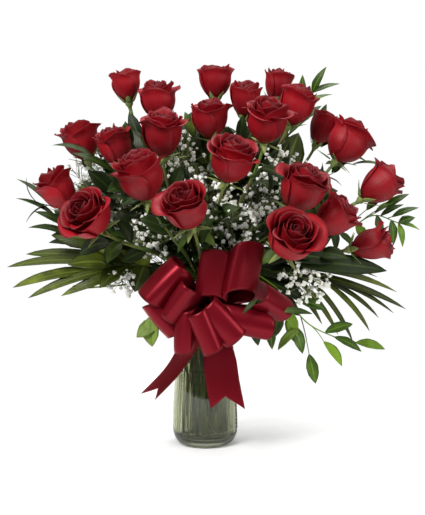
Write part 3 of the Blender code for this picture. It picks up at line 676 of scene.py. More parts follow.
# The hip: how far above the foot of the bloom, and its radius there, in mm
HIP = ((-9, 2.3), (-6, 3.2), (-3.5, 5.0), (-1, 5.6), (1.5, 4.8))
# Side veins on each half of a leaf, as radians of a wave from its foot to its tip
SIDE_VEINS = 75.0
# A sepal: share of its length, and its width there in mm
SEPAL_WIDTHS = ((0, 5.5), (0.25, 8.0), (0.6, 5.6), (0.85, 2.4), (1, 0.3))


def add_tube(shape, line, radii, sides=8, tone=0.5):
    """A round tube along a line, closed at both ends."""
    line = np.asarray(line, float)
    ahead = np.gradient(line, axis=0)
    ahead /= np.linalg.norm(ahead, axis=1)[:, None]
    side = np.cross(ahead[0], (0.3, 0.9, 0.2))
    turns = np.arange(sides) * math.tau / sides
    rows = []
    for centre, forward, radius in zip(line, ahead, radii):
        side = side - forward * (side @ forward)
        side /= np.linalg.norm(side)
        other = np.cross(forward, side)
        rows.append(centre + radius * (np.outer(np.cos(turns), side) + np.outer(np.sin(turns), other)))
    add_grid(shape, rows, tone=tone, around=True, ends=True)


def add_blade(shape, spine, widths, up, thickness, cup=0.12, across=7, tone=0.5):
    """A closed thin blade along a spine. up is the way its face looks, and cup raises its two edges."""
    spine = np.asarray(spine, float)
    ahead = np.gradient(spine, axis=0)
    x = np.linspace(-1, 1, across)
    ring_x = np.concatenate([x, x[-2:0:-1]])
    lift = np.concatenate([1 - x ** 2, -(1 - x[-2:0:-1] ** 2)]) * thickness / 2
    rows = []
    for centre, forward, width in zip(spine, ahead, widths):
        side = np.cross(forward, up)
        side /= np.linalg.norm(side)
        face = np.cross(side, forward)
        face /= np.linalg.norm(face)
        half = max(width / 2, 0.1 * MM)
        raised = cup * half * np.abs(ring_x) ** 1.5 + lift
        rows.append(centre + np.outer(ring_x * half, side) + np.outer(raised, face))
    add_grid(shape, rows, tone=tone, around=True, ends=True)
    uvs = shape["uvs"][-1].reshape(len(spine), len(ring_x), 2)
    uvs[:, :, 0] = (ring_x + 1) / 2


def make_leaf_material(name, dark, mid, light, rib, roughness):
    """A waxy leaf: tone picks the green, the midrib is paler, and side veins dent the blade."""
    material, tree, shader = start_material(name)
    uv = add(tree, "ShaderNodeUVMap", uv_map="along")
    split = add(tree, "ShaderNodeSeparateXYZ", {"Vector": uv})
    tone = add(tree, "ShaderNodeAttribute", attribute_name="tone")
    place = add(tree, "ShaderNodeTexCoord")
    patches = add(tree, "ShaderNodeTexNoise", {
        "Vector": place.outputs["Object"], "Scale": 45.0, "Detail": 3.0})
    mixed = add(tree, "ShaderNodeMath", {0: patches, 1: 0.5, 2: tone.outputs["Fac"]},
                operation="MULTIPLY_ADD")
    green = add(tree, "ShaderNodeValToRGB", {"Fac": mixed}, stops=((0.35, dark), (0.75, mid), (1.0, light)))
    off_rib = add(tree, "ShaderNodeMath", {0: split.outputs["X"], 1: 0.5}, operation="SUBTRACT")
    from_rib = add(tree, "ShaderNodeMath", {0: off_rib}, operation="ABSOLUTE")
    on_rib = add(tree, "ShaderNodeMapRange", {
        "Value": from_rib, "From Min": 0.03, "From Max": 0.075, "To Min": 0.5, "To Max": 0.0})
    colour = add(tree, "ShaderNodeMix", {SHARE: on_rib, FIRST: green, SECOND: linear(rib)}, data_type="RGBA")
    slant = add(tree, "ShaderNodeMath", {0: from_rib, 1: -0.7, 2: split.outputs["Y"]},
                operation="MULTIPLY_ADD")
    waves = add(tree, "ShaderNodeMath", {0: slant, 1: SIDE_VEINS}, operation="MULTIPLY")
    veins = add(tree, "ShaderNodeMath", {0: waves}, operation="SINE")
    height = add(tree, "ShaderNodeMath", {0: veins, 1: 0.35, 2: on_rib}, operation="MULTIPLY_ADD")
    bump = add(tree, "ShaderNodeBump", {"Height": height, "Strength": 0.35, "Distance": 0.4 * MM})
    set_inputs(tree, shader, {
        "Base Color": colour, "Normal": bump, "Roughness": roughness, "Specular IOR Level": 0.24})
    return material


# Sepal: paler than a leaf, with a fine down
soft_sepal = make_leaf_material("soft pale sepal", "#3A4A1A", "#66773A", "#97A264", "#7D8A4E", 0.55)

calyx_shape = start_shape()
for number in range(ROSES):
    base, axis, (width, length) = bloom_bases[number], bloom_axes[number], bloom_sizes[number]
    turned_to = frame_of(axis)
    hip_line = [base + axis * up * MM for up, _ in HIP]
    add_tube(calyx_shape, hip_line, [girth * MM for _, girth in HIP], STEM_SIDES, tone=0.6)
    luck = np.random.default_rng(300 + number)
    for k in range(SEPALS):
        turn = math.tau * (k / SEPALS) + luck.uniform(-0.15, 0.15) + number
        lean = SEPAL_LEAN[OPENNESS[number]] + luck.uniform(-18, 18)
        share = np.linspace(0, 1, SEPAL_STEPS)
        slope = np.radians(np.interp(share, (0, 0.2, 1), (70, lean * 0.8 + 10, lean)))
        reach = length * luck.uniform(0.34, 0.46)
        out = 4.5 * MM + np.cumsum(np.sin(slope)) * reach / SEPAL_STEPS
        up = -1.0 * MM + np.cumsum(np.cos(slope)) * reach / SEPAL_STEPS
        if OPENNESS[number] == "bud":
            out = np.minimum(out, width * 0.49)
        spine = np.stack([out * math.cos(turn), out * math.sin(turn), up], -1) @ turned_to.T + base
        widths = np.interp(share, *zip(*SEPAL_WIDTHS)) * MM
        outward = turned_to @ np.array([math.cos(turn), math.sin(turn), 0.3])
        add_blade(calyx_shape, spine, widths, -outward, 0.7 * MM, cup=0.2, across=5, tone=0.6)
add_piece("rose_calyxes", calyx_shape, soft_sepal)

# ------------------------------------------------------------------ greenery
# Cut foliage tucked in between the roses: palm blades low at both sides, broad lemon leaves at the
# left, arching ruscus, and single rose leaves. Leaves are waxy above, with a pale midrib.

# Palm and lemon leaf: thick, dark olive and leathery. Ruscus: thinner, fresh mid green, glossier.
# Rose leaf: soft matt green.
olive_leaf = make_leaf_material("leathery olive leaf", "#1C2505", "#3E4A0C", "#7B8722", "#6C7A2E", 0.42)
ruscus_leaf = make_leaf_material("glossy ruscus leaf", "#1A2A05", "#334F0B", "#739520", "#70902E", 0.38)
rose_leaf = make_leaf_material("matt rose leaf", "#131F04", "#273909", "#6F8634", "#46601E", 0.5)

# Outlines: share of the length, share of the full width
LANCE = ((0, 0.10), (0.12, 0.55), (0.35, 1.0), (0.65, 0.78), (0.88, 0.34), (1, 0.02))
STRAP = ((0, 0.20), (0.15, 0.75), (0.4, 1.0), (0.72, 0.88), (0.9, 0.5), (1, 0.02))
OVAL = ((0, 0.10), (0.12, 0.55), (0.38, 1.0), (0.66, 0.88), (0.88, 0.42), (1, 0.02))
BLADE_STEPS = 13
LEAF_THICKNESS = 0.6 * MM
# Ways that a leaf's face looks
UP_FRONT = (0, -0.6, 0.8)
FRONT = (0, -0.95, 0.3)
BACK_UP = (0, -0.9, 0.45)
# A spray follows its stalk in the frame up to here, by this many rings
STALK_TOP = VASE_HEIGHT - 10 * MM
STALK_RINGS = 4


def leaf_between(shape, base, tip, width, outline, tone, arch=0.07, face=UP_FRONT, twist=0.0, longest=1.0):
    """One gently arched leaf that ends at the tip. It is no longer than longest: a leaf stalk makes up
    the rest."""
    base, tip = np.asarray(base, float), np.asarray(tip, float)
    along = tip - base
    length = np.linalg.norm(along)
    if length > longest:
        start, along = base, along * longest / length
        base, length = tip - along, longest
        sag = np.array([0, 0, 0.08 * np.linalg.norm(base - start)])
        stalk = smooth_line([start, (start + base) / 2 + sag, base + along * 0.1], 8 * MM)
        add_tube(shape, stalk, np.linspace(0.8, 0.5, len(stalk)) * MM, 6, tone=tone)
    up = np.asarray(face, float) + twist * np.cross(along / length, face)
    share = np.linspace(0, 1, BLADE_STEPS)
    lift = arch * length * (4 * share * (1 - share) - 0.6 * share ** 2)
    side = np.cross(along, up)
    normal = np.cross(side, along)
    normal /= np.linalg.norm(normal)
    spine = base + np.outer(share, along) + np.outer(lift, normal)
    widths = np.interp(share, *zip(*outline)) * width
    add_blade(shape, spine, widths, up, LEAF_THICKNESS, cup=0.16, tone=tone)


def at_share(line, share):
    """The place at a share of the way along a line."""
    spans = np.concatenate([[0], np.cumsum(np.linalg.norm(np.diff(line, axis=0), axis=1))])
    return np.array([np.interp(share * spans[-1], spans, line[:, k]) for k in range(3)])


def spray_stalk(node, route):
    """A stalk's whole line: its foot and neck as in the frame, then its own route above the vase."""
    low = ring_centres(node, below=STALK_TOP)[:STALK_RINGS]
    return smooth_line(np.vstack([low, np.array(route) * MM]), 5 * MM)


# One row for each spray that stands in the frame: CAD node, leaf width and greatest length, outline,
# tone, its route above the vase, and its leaves (share of the route, tip), all in mm.
SPRAYS = (
    ("palm_left", 19, 150, STRAP, 0.55, ((-62, 30, 243), (-100, 30, 238), (-140, 28, 232)), (
        (0.55, (-205, 60, 262)), (0.70, (-250, 40, 258)), (0.85, (-272, 20, 243)),
        (1.0, (-262, 5, 216)), (0.90, (-240, -5, 203)), (0.75, (-195, -5, 205)))),
    ("lemon_leaf_left", 38, 92, OVAL, 0.42, ((-55, -12, 240), (-88, -18, 246), (-120, -22, 247)), (
        (0.55, (-112, 5, 285)), (0.75, (-165, 2, 272)), (1.0, (-180, -35, 250)),
        (0.80, (-138, -45, 220)), (0.60, (-92, -42, 214)), (0.9, (-150, -10, 262)))),
    ("ruscus_top_right", 14, 46, LANCE, 0.50, ((75, 75, 345), (120, 85, 430), (150, 80, 478)), (
        (0.62, (96, 92, 432)), (0.70, (112, 95, 448)), (0.75, (150, 70, 448)), (0.80, (165, 95, 462)),
        (0.86, (124, 82, 492)), (0.90, (138, 92, 505)), (0.93, (178, 84, 478)), (1.0, (168, 70, 514)),
        (1.0, (188, 76, 492)))),
    ("ruscus_far_right", 13, 38, LANCE, 0.50,
     ((120, 20, 275), (190, 15, 290), (228, 12, 310), (262, 10, 300)), (
        (0.55, (178, 15, 322)), (0.62, (205, 15, 330)), (0.66, (204, 8, 266)), (0.72, (245, 12, 345)),
        (0.76, (222, 8, 274)), (0.80, (275, 8, 340)), (0.84, (262, 8, 332)), (0.88, (240, 8, 280)),
        (0.90, (268, 8, 326)), (0.94, (288, 5, 322)), (0.96, (256, 8, 270)), (1.0, (290, 5, 292)),
        (1.0, (268, 5, 268)), (1.0, (284, 8, 308)))),
    ("palm_right", 13, 170, STRAP, 0.45, ((70, -10, 243), (115, -12, 238), (155, -10, 226)), (
        (0.70, (236, 10, 232)), (0.78, (262, 2, 212)), (0.85, (274, -5, 188)), (0.92, (256, -12, 184)),
        (1.0, (234, -20, 178)), (1.0, (222, -26, 160)), (0.9, (200, -32, 146)), (0.75, (158, -30, 170)),
        (0.82, (180, -30, 156)))),
    ("ruscus_low_right", 17, 40, OVAL, 0.62,
     ((58, -32, 240), (98, -42, 215), (135, -44, 172), (178, -44, 150)), (
        (0.46, (110, -56, 176)), (0.52, (88, -60, 140)), (0.62, (128, -62, 135)), (0.66, (160, -40, 190)),
        (0.70, (116, -60, 150)), (0.78, (146, -50, 92)), (0.85, (180, -60, 118)), (0.92, (196, -35, 170)),
        (0.96, (206, -50, 136)), (1.0, (238, -44, 138)))),
)
for node, width, longest, outline, tone, route, leaves in SPRAYS:
    shape = start_shape()
    line = spray_stalk(node, route)
    girths = np.linspace(1.7, 0.8, len(line)) * MM
    add_tube(shape, line, girths, 8, tone=tone + 0.1)
    above = line[np.argmax(line[:, 2] > VASE_HEIGHT - 13 * MM):]
    luck = np.random.default_rng(len(node) * 7)
    for share, tip in leaves:
        leaf_between(shape, at_share(above, share), np.array(tip) * MM, width * MM * luck.uniform(0.85, 1.1),
                     outline, tone + luck.uniform(-0.2, 0.2), arch=0.07, twist=luck.uniform(-0.35, 0.35),
                     longest=longest * MM)
    material = ruscus_leaf if node.startswith("ruscus") else olive_leaf
    spray = add_piece(node + "_spray", shape, material)
    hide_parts(node)

# Single leaves, listed one by one: base, tip and width in mm, and tone. The broad ones have no stalk and
# face the front.
BROAD_LEAF = 20
LOOSE_LEAVES = (
    ((-118, -20, 372), (-196, -34, 408), 16, 0.3), ((-118, -25, 368), (-170, -44, 396), 13, 0.35),
    ((-100, -8, 396), (-105, -12, 436), 17, 0.4), ((-14, -18, 415), (-26, -22, 448), 14, 0.55),
    ((46, -12, 412), (50, -16, 444), 15, 0.4), ((60, 0, 388), (66, -4, 420), 14, 0.4),
    ((-12, -98, 300), (-34, -108, 272), 15, 0.55), ((-10, -92, 298), (14, -106, 280), 14, 0.6),
    ((92, -96, 276), (72, -100, 256), 16, 0.6), ((98, -100, 268), (76, -112, 284), 13, 0.55),
    ((165, 15, 392), (222, 18, 384), 13, 0.6), ((190, 18, 380), (258, 26, 370), 13, 0.6),
    ((172, 20, 368), (206, 10, 400), 16, 0.5), ((150, 22, 372), (168, 16, 352), 16, 0.5),
    ((60, -24, 226), (132, -40, 204), 28, 0.15), ((70, -20, 236), (146, -36, 228), 28, 0.2),
    ((84, -30, 214), (126, -44, 182), 22, 0.25), ((56, -24, 214), (104, -40, 180), 24, 0.2),
    ((40, -14, 246), (112, -26, 232), 27, 0.1), ((36, -8, 236), (100, -22, 206), 25, 0.2),
    ((34, -20, 254), (124, -40, 262), 26, 0.15), ((-34, -10, 240), (-96, -24, 224), 26, 0.2),
    ((112, -40, 252), (243, -30, 241), 28, 0.3), ((100, -44, 262), (176, -48, 254), 24, 0.15),
    ((-70, -62, 184), (-68, -72, 146), 25, 0.75), ((-60, -60, 178), (-88, -70, 158), 22, 0.7),
    ((-140, 10, 262), (-252, 10, 361), 13, 0.4), ((-170, 8, 290), (-252, 0, 336), 14, 0.45),
    ((-160, 4, 282), (-227, -5, 318), 14, 0.4), ((-150, 0, 272), (-236, -5, 298), 15, 0.35),
    ((-120, 10, 262), (-212, 8, 276), 19, 0.2), ((-110, 15, 258), (-190, 0, 284), 17, 0.3),
    ((152, 60, 420), (168, 58, 462), 14, 0.5), ((160, 50, 402), (200, 48, 418), 13, 0.5),
    ((66, -114, 214), (47, -122, 197), 7, 0.35), ((92, -92, 196), (136, -98, 194), 10, 0.45),
    ((122, -62, 168), (94, -66, 141), 15, 0.8), ((100, -60, 188), (92, -62, 158), 13, 0.45),
    ((60, -88, 186), (68, -96, 152), 15, 0.3), ((94, -58, 196), (96, -62, 160), 14, 0.5),
)
loose_shape = start_shape()
luck = np.random.default_rng(5)
for base, tip, width, tone in LOOSE_LEAVES:
    leaf_between(loose_shape, np.array(base) * MM, np.array(tip) * MM, width * MM, OVAL, tone,
                 arch=luck.uniform(0.04, 0.14), twist=luck.uniform(-0.4, 0.4),
                 face=UP_FRONT if width < BROAD_LEAF else FRONT,
                 longest=(60 if width < BROAD_LEAF else 200) * MM)
add_piece("single_leaves", loose_shape, rose_leaf)

# Ruscus sprigs that fill the back and the sides: leaves grow along each stalk by turns.
SPRIG_ROUTES = (
    ((-12, 20, 225), (-60, 60, 300), (-120, 72, 352), (-168, 70, 372)),
    ((-4, 24, 226), (-30, 70, 300), (-50, 76, 380), (-58, 80, 440)),
    ((6, 24, 226), (40, 74, 300), (66, 76, 370), (90, 80, 430)),
    ((14, 18, 225), (70, 60, 290), (130, 70, 340), (186, 60, 370)),
    ((-10, 22, 226), (-48, 62, 262), (-92, 70, 284), (-140, 74, 280)),
    ((10, 22, 226), (52, 62, 262), (100, 70, 280), (150, 72, 268)),
    ((-8, 2, 226), (-50, -10, 300), (-80, -25, 330), (-105, -40, 340)),
    ((8, -6, 226), (40, -20, 300), (70, -40, 330), (85, -55, 345)),
    ((0, -8, 226), (0, -30, 290), (5, -45, 330), (4, -60, 372)),
    ((-20, 0, 226), (-90, 10, 280), (-160, 5, 310), (-232, 0, 330)),
)
sprig_leaf_shape = start_shape()
leaf_between(sprig_leaf_shape, (0, 0, 0), (0, 0, 36 * MM), 13 * MM, LANCE, 0.5, arch=0.1, face=(0, 1, 0))
sprig_leaf = pattern_object("sprig_leaf", sprig_leaf_shape)
sprig_lines = [smooth_line(np.array(route) * MM) for route in SPRIG_ROUTES]
sprigs = grown("ruscus_sprigs", curve_of("sprig_lines", sprig_lines, [
    np.linspace(1.3, 0.5, len(line)) * MM for line in sprig_lines]), stem_growth, {
        "Growth": sprig_leaf, "Spacing": 15 * MM, "Lean": math.radians(48), "Turn each": math.pi,
        "Bare foot": 0.28, "Sides": 6, "Seed": 8, "Material": olive_leaf})
bpy.data.objects.remove(sprig_leaf, do_unlink=True)

# Rose leaves left on the upper stems, and broad leaves set in behind as a backing, given the darkest
# greens as painted shade. Together they close the heart of the bouquet, so little shows through between
# the blooms.
STEM_LEAVES = 230
VASE_LEAVES = 84
VASE_STALKS = 48
BACKING_LEAVES = 100
# Leaves in the vase are drawn in towards its axis, so that they stay within the glass
WITHIN_GLASS = (0.88, 0.88, 1)
# Between one greenery stalk and the next round the vase's foot, and from a stalk's foot to its head
STALK_TURN, STALK_CROSSING = 2.4, 2.6
STALK_FOOT, STALK_HEAD = 16 * MM, 212 * MM


def inside_bloom(place):
    """Whether a place is inside a rose."""
    for base, axis, (width, length) in zip(bloom_bases, bloom_axes, bloom_sizes):
        centre = base + axis * length / 2
        if np.linalg.norm(place - centre) < 0.27 * (width + length):
            return True
    return False


def fits_in(base, tip):
    """Whether a leaf stays clear of the blooms, the bow and the outside of the bouquet."""
    for share in (0.35, 0.7, 1.0):
        place = base + (tip - base) * share
        x, y, z = place / MM
        in_bow = y < -50 and z < 282 and -95 < x < 115
        too_far = z < 222 or not -130 < y < 92 or np.hypot(x / 235, (z - 235) / 262) > 1
        if inside_bloom(place) or in_bow or too_far:
            return False
    return True


foliage_shape = start_shape()
luck = np.random.default_rng(21)
grown_leaves = 0
while grown_leaves < STEM_LEAVES:
    line = stem_lines[luck.integers(ROSES)]
    base = at_share(line, luck.uniform(0.56, 0.93))
    outward = base * (1, 1, 0) / (np.linalg.norm(base[:2]) + 1 * MM)
    way = outward * 0.7 + luck.normal(size=3) * 0.55 + np.array([0, -0.15, 0.1])
    tip = base + way / np.linalg.norm(way) * luck.uniform(34, 58) * MM
    if fits_in(base, tip):
        leaf_between(foliage_shape, base, tip, luck.uniform(17, 28) * MM, OVAL, luck.uniform(0.05, 0.5),
                     arch=luck.uniform(0.05, 0.16), twist=luck.uniform(-0.6, 0.6), longest=46 * MM)
        grown_leaves += 1

# A few leaves were left on below the neck too, and lie along the stems in the vase.
for _ in range(VASE_LEAVES):
    line = stem_lines[luck.integers(ROSES)]
    share = luck.uniform(0.02, 0.34)
    base, tip = at_share(line, share) * WITHIN_GLASS, at_share(line, share + 0.1) * WITHIN_GLASS
    tip = tip + luck.uniform(-3, 3, 3) * MM
    leaf_between(foliage_shape, base, tip, luck.uniform(10, 16) * MM, LANCE, luck.uniform(0.35, 0.85),
                 arch=0.03, face=base * (1, 1, 0) + np.array([0, -2 * MM, 0]))

# The stalks of the greenery stand between the rose stems, down to the foot of the vase.
for k in range(VASE_STALKS):
    turn = k * STALK_TURN
    foot = np.array([math.cos(turn), math.sin(turn), 0]) * luck.uniform(10, 35) * MM + (0, 0, STALK_FOOT)
    middle = foot * (0.9, 0.9, 1) + np.array([0, 0, luck.uniform(70, 100) * MM])
    turn += STALK_CROSSING
    head = np.array([math.cos(turn), math.sin(turn), 0]) * luck.uniform(6, 25) * MM + (0, 0, STALK_HEAD)
    stalk = smooth_line([foot, middle, head], 10 * MM)
    girth = np.full(len(stalk), luck.uniform(0.8, 1.5) * MM)
    add_tube(foliage_shape, stalk, girth, 6, tone=luck.uniform(0.6, 1.1))
add_piece("rose_stem_leaves", foliage_shape, rose_leaf)

backing_shape = start_shape()
grown_leaves = 0
while grown_leaves < BACKING_LEAVES:
    aim = luck.uniform(-1.35, 1.35)
    reach = luck.uniform(40, 150) * MM
    heading = np.array([math.sin(aim), 0, math.cos(aim)])
    base = heading * reach + np.array([0, luck.uniform(0, 62), 238]) * MM
    tip = base + (heading + luck.uniform(-0.4, 0.4, 3)) * luck.uniform(56, 78) * MM
    if fits_in(base, tip):
        # The backing's low tones are painted shade: the heart of the bouquet is painted dark green
        leaf_between(backing_shape, base, tip, luck.uniform(30, 42) * MM, OVAL, luck.uniform(0.0, 0.35),
                     arch=luck.uniform(0.05, 0.14), face=BACK_UP, twist=luck.uniform(-0.5, 0.5))
        foot = np.array([luck.uniform(-22, 22), luck.uniform(0, 20), 214]) * MM
        stalk = smooth_line([foot, foot * 0.55 + base * 0.45 + np.array([0, 0, 16 * MM]), base], 8 * MM)
        add_tube(backing_shape, stalk, np.full(len(stalk), 0.9 * MM), 6, tone=0.3)
        grown_leaves += 1
add_piece("backing_leaves", backing_shape, olive_leaf)

# ------------------------------------------------------------------ baby's breath
# Gypsophila: wiry stalks that fork again and again into hair-thin twigs, each with one tiny ruffled
# white flower. It fills the gaps between the roses as a loose white haze.

FLOWER_RADIUS = 4.0 * MM
SMALLEST_FLOWER = 0.45
TWIG_RADIUS = 0.33 * MM

MAIN_STALK = 1.5 * MM
BRANCH_RADII = (1.1 * MM, 0.6 * MM)
FORK_RADIUS = 0.42 * MM
TWIG_TAPER = (1.0, 0.9, 0.8)
# A flower turns by up to this much about each axis, in radians
FLOWER_TURN = 6.28
# The sphere that a flower is drawn from, and how far its points lie in or out
FLOWER_CUTS = 2
RUFFLE = (0.55, 1.12)
# For each CAD stalk, its clouds of blossom: place and half size in mm, and how many flowers
CLOUDS = {
    "gypsophila_left": (
        ((-128, 32, 358), (46, 30, 44), 150), ((-100, 34, 306), (38, 34, 36), 90),
        ((-70, -30, 288), (38, 30, 38), 90), ((-108, -34, 226), (24, 16, 20), 30),
        ((-44, -50, 232), (24, 12, 20), 22), ((-60, 60, 360), (56, 26, 50), 70),
        ((-36, -50, 318), (34, 28, 34), 80), ((-176, 20, 366), (26, 20, 30), 40)),
    "gypsophila_right": (
        ((-36, -12, 392), (36, 26, 32), 60), ((4, -50, 346), (38, 30, 36), 110),
        ((38, -66, 306), (40, 28, 40), 120), ((100, -10, 372), (42, 30, 36), 90),
        ((78, -10, 330), (42, 30, 36), 80), ((130, -44, 226), (40, 22, 32), 90),
        ((60, 64, 366), (60, 26, 56), 80), ((88, -56, 186), (14, 10, 14), 9)),
}


def blossoms_on_twigs():
    """Twigs as fine tubes, with a flower at the end of each."""
    tree, given, result = start_tree("blossoms on twigs", (
        ("Flower", "Object"), ("Smallest", "Float"), ("Flowering girth", "Float"), ("Seed", "Int"),
        ("Twig", "Material"), ("Petal", "Material")))
    ring = add(tree, "GeometryNodeCurvePrimitiveCircle", {"Resolution": 4, "Radius": 1.0})
    radius = add(tree, "GeometryNodeInputRadius")
    tube = add(tree, "GeometryNodeCurveToMesh", {
        "Curve": given["Geometry"], "Profile Curve": ring, "Scale": radius, "Fill Caps": True})
    woody = add(tree, "GeometryNodeSetMaterial", {"Geometry": tube, "Material": given["Twig"]})
    tips = add(tree, "GeometryNodeCurveEndpointSelection", {"Start Size": 0, "End Size": 1})
    thin = add(tree, "FunctionNodeCompare", {0: radius, 1: given["Flowering girth"]},
               data_type="FLOAT", operation="LESS_THAN")
    flowering = add(tree, "FunctionNodeBooleanMath", {0: tips, 1: thin}, operation="AND")
    facing = add(tree, "FunctionNodeRandomValue", {
        0: (0, 0, 0), 1: (FLOWER_TURN, FLOWER_TURN, FLOWER_TURN), "Seed": given["Seed"]},
        data_type="FLOAT_VECTOR")
    turned = add(tree, "FunctionNodeEulerToRotation", {"Euler": facing})
    size = add(tree, "FunctionNodeRandomValue", {LEAST: given["Smallest"], MOST: 1.0, "Seed": given["Seed"]},
               data_type="FLOAT")
    flower = add(tree, "GeometryNodeObjectInfo", {"Object": given["Flower"], "As Instance": True})
    placed = add(tree, "GeometryNodeInstanceOnPoints", {
        "Points": given["Geometry"], "Selection": flowering, "Instance": flower.outputs["Geometry"],
        "Rotation": turned, "Scale": size})
    real = add(tree, "GeometryNodeRealizeInstances", {"Geometry": placed})
    white = add(tree, "GeometryNodeSetMaterial", {"Geometry": real, "Material": given["Petal"]})
    both = add(tree, "GeometryNodeJoinGeometry", {"Geometry": woody})
    set_inputs(tree, both, {"Geometry": white})
    set_inputs(tree, result, {"Geometry": both})
    return tree


# Gypsophila flower: chalk-white papery petals, greyer in fine random flecks. Twigs: dry grey-green.
white_petal, white_tree, white_shader = start_material("papery white blossom")
white_noise = add(white_tree, "ShaderNodeTexNoise", {"Scale": 500.0, "Detail": 2.0})
white_tone = add(white_tree, "ShaderNodeValToRGB", {"Fac": white_noise},
                 stops=((0.3, "#D9DACB"), (0.65, "#FBFAF5")))
set_inputs(white_tree, white_shader, {"Base Color": white_tone, "Roughness": 0.8})
twig_bark, twig_tree, twig_shader = start_material("dry gypsophila twig")
twig_noise = add(twig_tree, "ShaderNodeTexNoise", {"Scale": 120.0})
twig_tone = add(twig_tree, "ShaderNodeValToRGB", {"Fac": twig_noise},
                stops=((0.3, "#5E6B3E"), (0.7, "#8A9364")))
set_inputs(twig_tree, twig_shader, {"Base Color": twig_tone, "Roughness": 0.6})

flower_ball = bmesh.new()
bmesh.ops.create_icosphere(flower_ball, subdivisions=FLOWER_CUTS, radius=FLOWER_RADIUS)
luck = np.random.default_rng(11)
for point in flower_ball.verts:
    point.co *= luck.uniform(*RUFFLE)
flower_mesh = bpy.data.meshes.new("flower")
flower_ball.to_mesh(flower_mesh)
flower_ball.free()
flower = link_object("flower", flower_mesh)

blossom_tree = blossoms_on_twigs()
for stalk, clouds in CLOUDS.items():
    luck = np.random.default_rng(len(stalk))
    low = ring_centres(stalk, below=STALK_TOP)[:STALK_RINGS]
    lines = [smooth_line(low, 8 * MM)]
    girths = [np.full(len(lines[0]), MAIN_STALK)]
    neck = low[-1]
    for centre, half, count in clouds:
        centre, half = np.array(centre) * MM, np.array(half) * MM
        root = centre - (0, 0, half[2] * 0.9)
        if centre[2] < neck[2] + 30 * MM:  # the cloud hangs, so its branch comes from above
            root = centre * 0.8 + neck * 0.2 + np.array([0, 0, 14 * MM])
        lift = np.array([0, 0, 0.35 * np.linalg.norm(root - neck)])
        bend = neck * 0.62 + root * 0.38 + lift * 0.35
        branch = smooth_line([neck, bend, root, root * 0.4 + centre * 0.6], 8 * MM)
        lines.append(branch)
        girths.append(np.linspace(*BRANCH_RADII, len(branch)))
        hubs = [root + (centre - root) * luck.uniform(0.1, 0.8) + luck.uniform(-0.5, 0.5, 3) * half
                for _ in range(max(4, count // 7))]
        for hub in hubs:
            start = at_share(branch, luck.uniform(0.55, 0.98))
            lines.append(smooth_line([start, (start + hub) / 2 + np.array([0, 0, -2 * MM]), hub], 8 * MM))
            girths.append(np.full(len(lines[-1]), FORK_RADIUS))
        for _ in range(count):
            way = luck.normal(size=3)
            tip = centre + way / np.linalg.norm(way) * luck.uniform(0.25, 1.0) ** 0.6 * half
            if inside_bloom(tip):
                continue
            hub = min(hubs, key=lambda place: np.linalg.norm(place - tip))
            lines.append(np.array([hub, (hub + tip) / 2 + luck.uniform(-2, 2, 3) * MM, tip]))
            girths.append(np.array(TWIG_TAPER) * TWIG_RADIUS)
    haze = grown(stalk + "_haze", curve_of(stalk + "_lines", lines, girths), blossom_tree, {
        "Flower": flower, "Smallest": SMALLEST_FLOWER, "Flowering girth": TWIG_RADIUS * 1.01, "Seed": 4,
        "Twig": twig_bark, "Petal": white_petal})
    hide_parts(stalk)
bpy.data.objects.remove(flower, do_unlink=True)

# ------------------------------------------------------------------ ribbon
# Single-faced satin ribbon, 44 mm wide, about two metres of it. It goes round the vase's neck once
# and is tied in a full bow of ten loops, gathered to the knot, with two tails cut to a swallow tail.

RIBBON_WIDTH = 44 * MM
SATIN_THICKNESS = 0.4 * MM
# Points across the ribbon and rows along a loop, and how wide it is where it is gathered to the knot
ACROSS = 17
LOOP_ROWS = 61
LOOP_GATHER, TAIL_GATHER = 0.5, 0.4
LOOP_PLEAT, TAIL_PLEAT = 1.8 * MM, 2.0 * MM
LOOP_RIPPLE, TAIL_RIPPLE = 1.2 * MM, 1.6 * MM
# The knot: its place, and how far it reaches across, forward and up from there
KNOT = Vector((6 * MM, -(RIM_RADIUS + 16 * MM), NECK_HEIGHT + 6 * MM))
KNOT_HALF = (10 * MM, 8 * MM, 10 * MM)
KNOT_COLUMNS = 48
KNOT_ROWS = 15
# The band: the ribbon folded to this width, this far off the glass, with shallow creases
BAND_WIDTH = 16 * MM
BAND_GAP = 0.8 * MM
BAND_CREASE = 0.35 * MM
BAND_COLUMNS = 96
BAND_ROWS = 11
# One row for each loop, in mm: the middle of its fold from the knot, which way the fold runs, how long
# the fold is, as the ribbon crosses it aslant, and how far the loop opens
BOW_LOOPS = (
    ((7, -50, 48), (0.12, 0, 1), 60, 38), ((52, -50, 57), (-0.20, -0.1, -1), 62, 44),
    ((90, -38, 12), (-0.60, -0.45, 0.45), 50, 34), ((53, -54, -18), (0.97, 0, -0.22), 58, 34),
    ((16, -60, -15), (0.68, 0, -0.73), 58, 34), ((-7, -66, -27), (0.38, 0, -0.92), 55, 26),
    ((-36, -54, -27), (-0.06, 0, -1), 55, 24), ((-68, -34, -17), (0.63, 0, -0.77), 52, 30),
    ((-44, -60, 14), (-0.5, 0.3, -0.8), 54, 26), ((-67, -36, 42), (-0.69, 0, -0.72), 62, 40),
)

# Threads drawn across the ribbon and along a piece of it, some 0.6 mm apart
THREADS_ACROSS, THREADS_ALONG = 60, 260
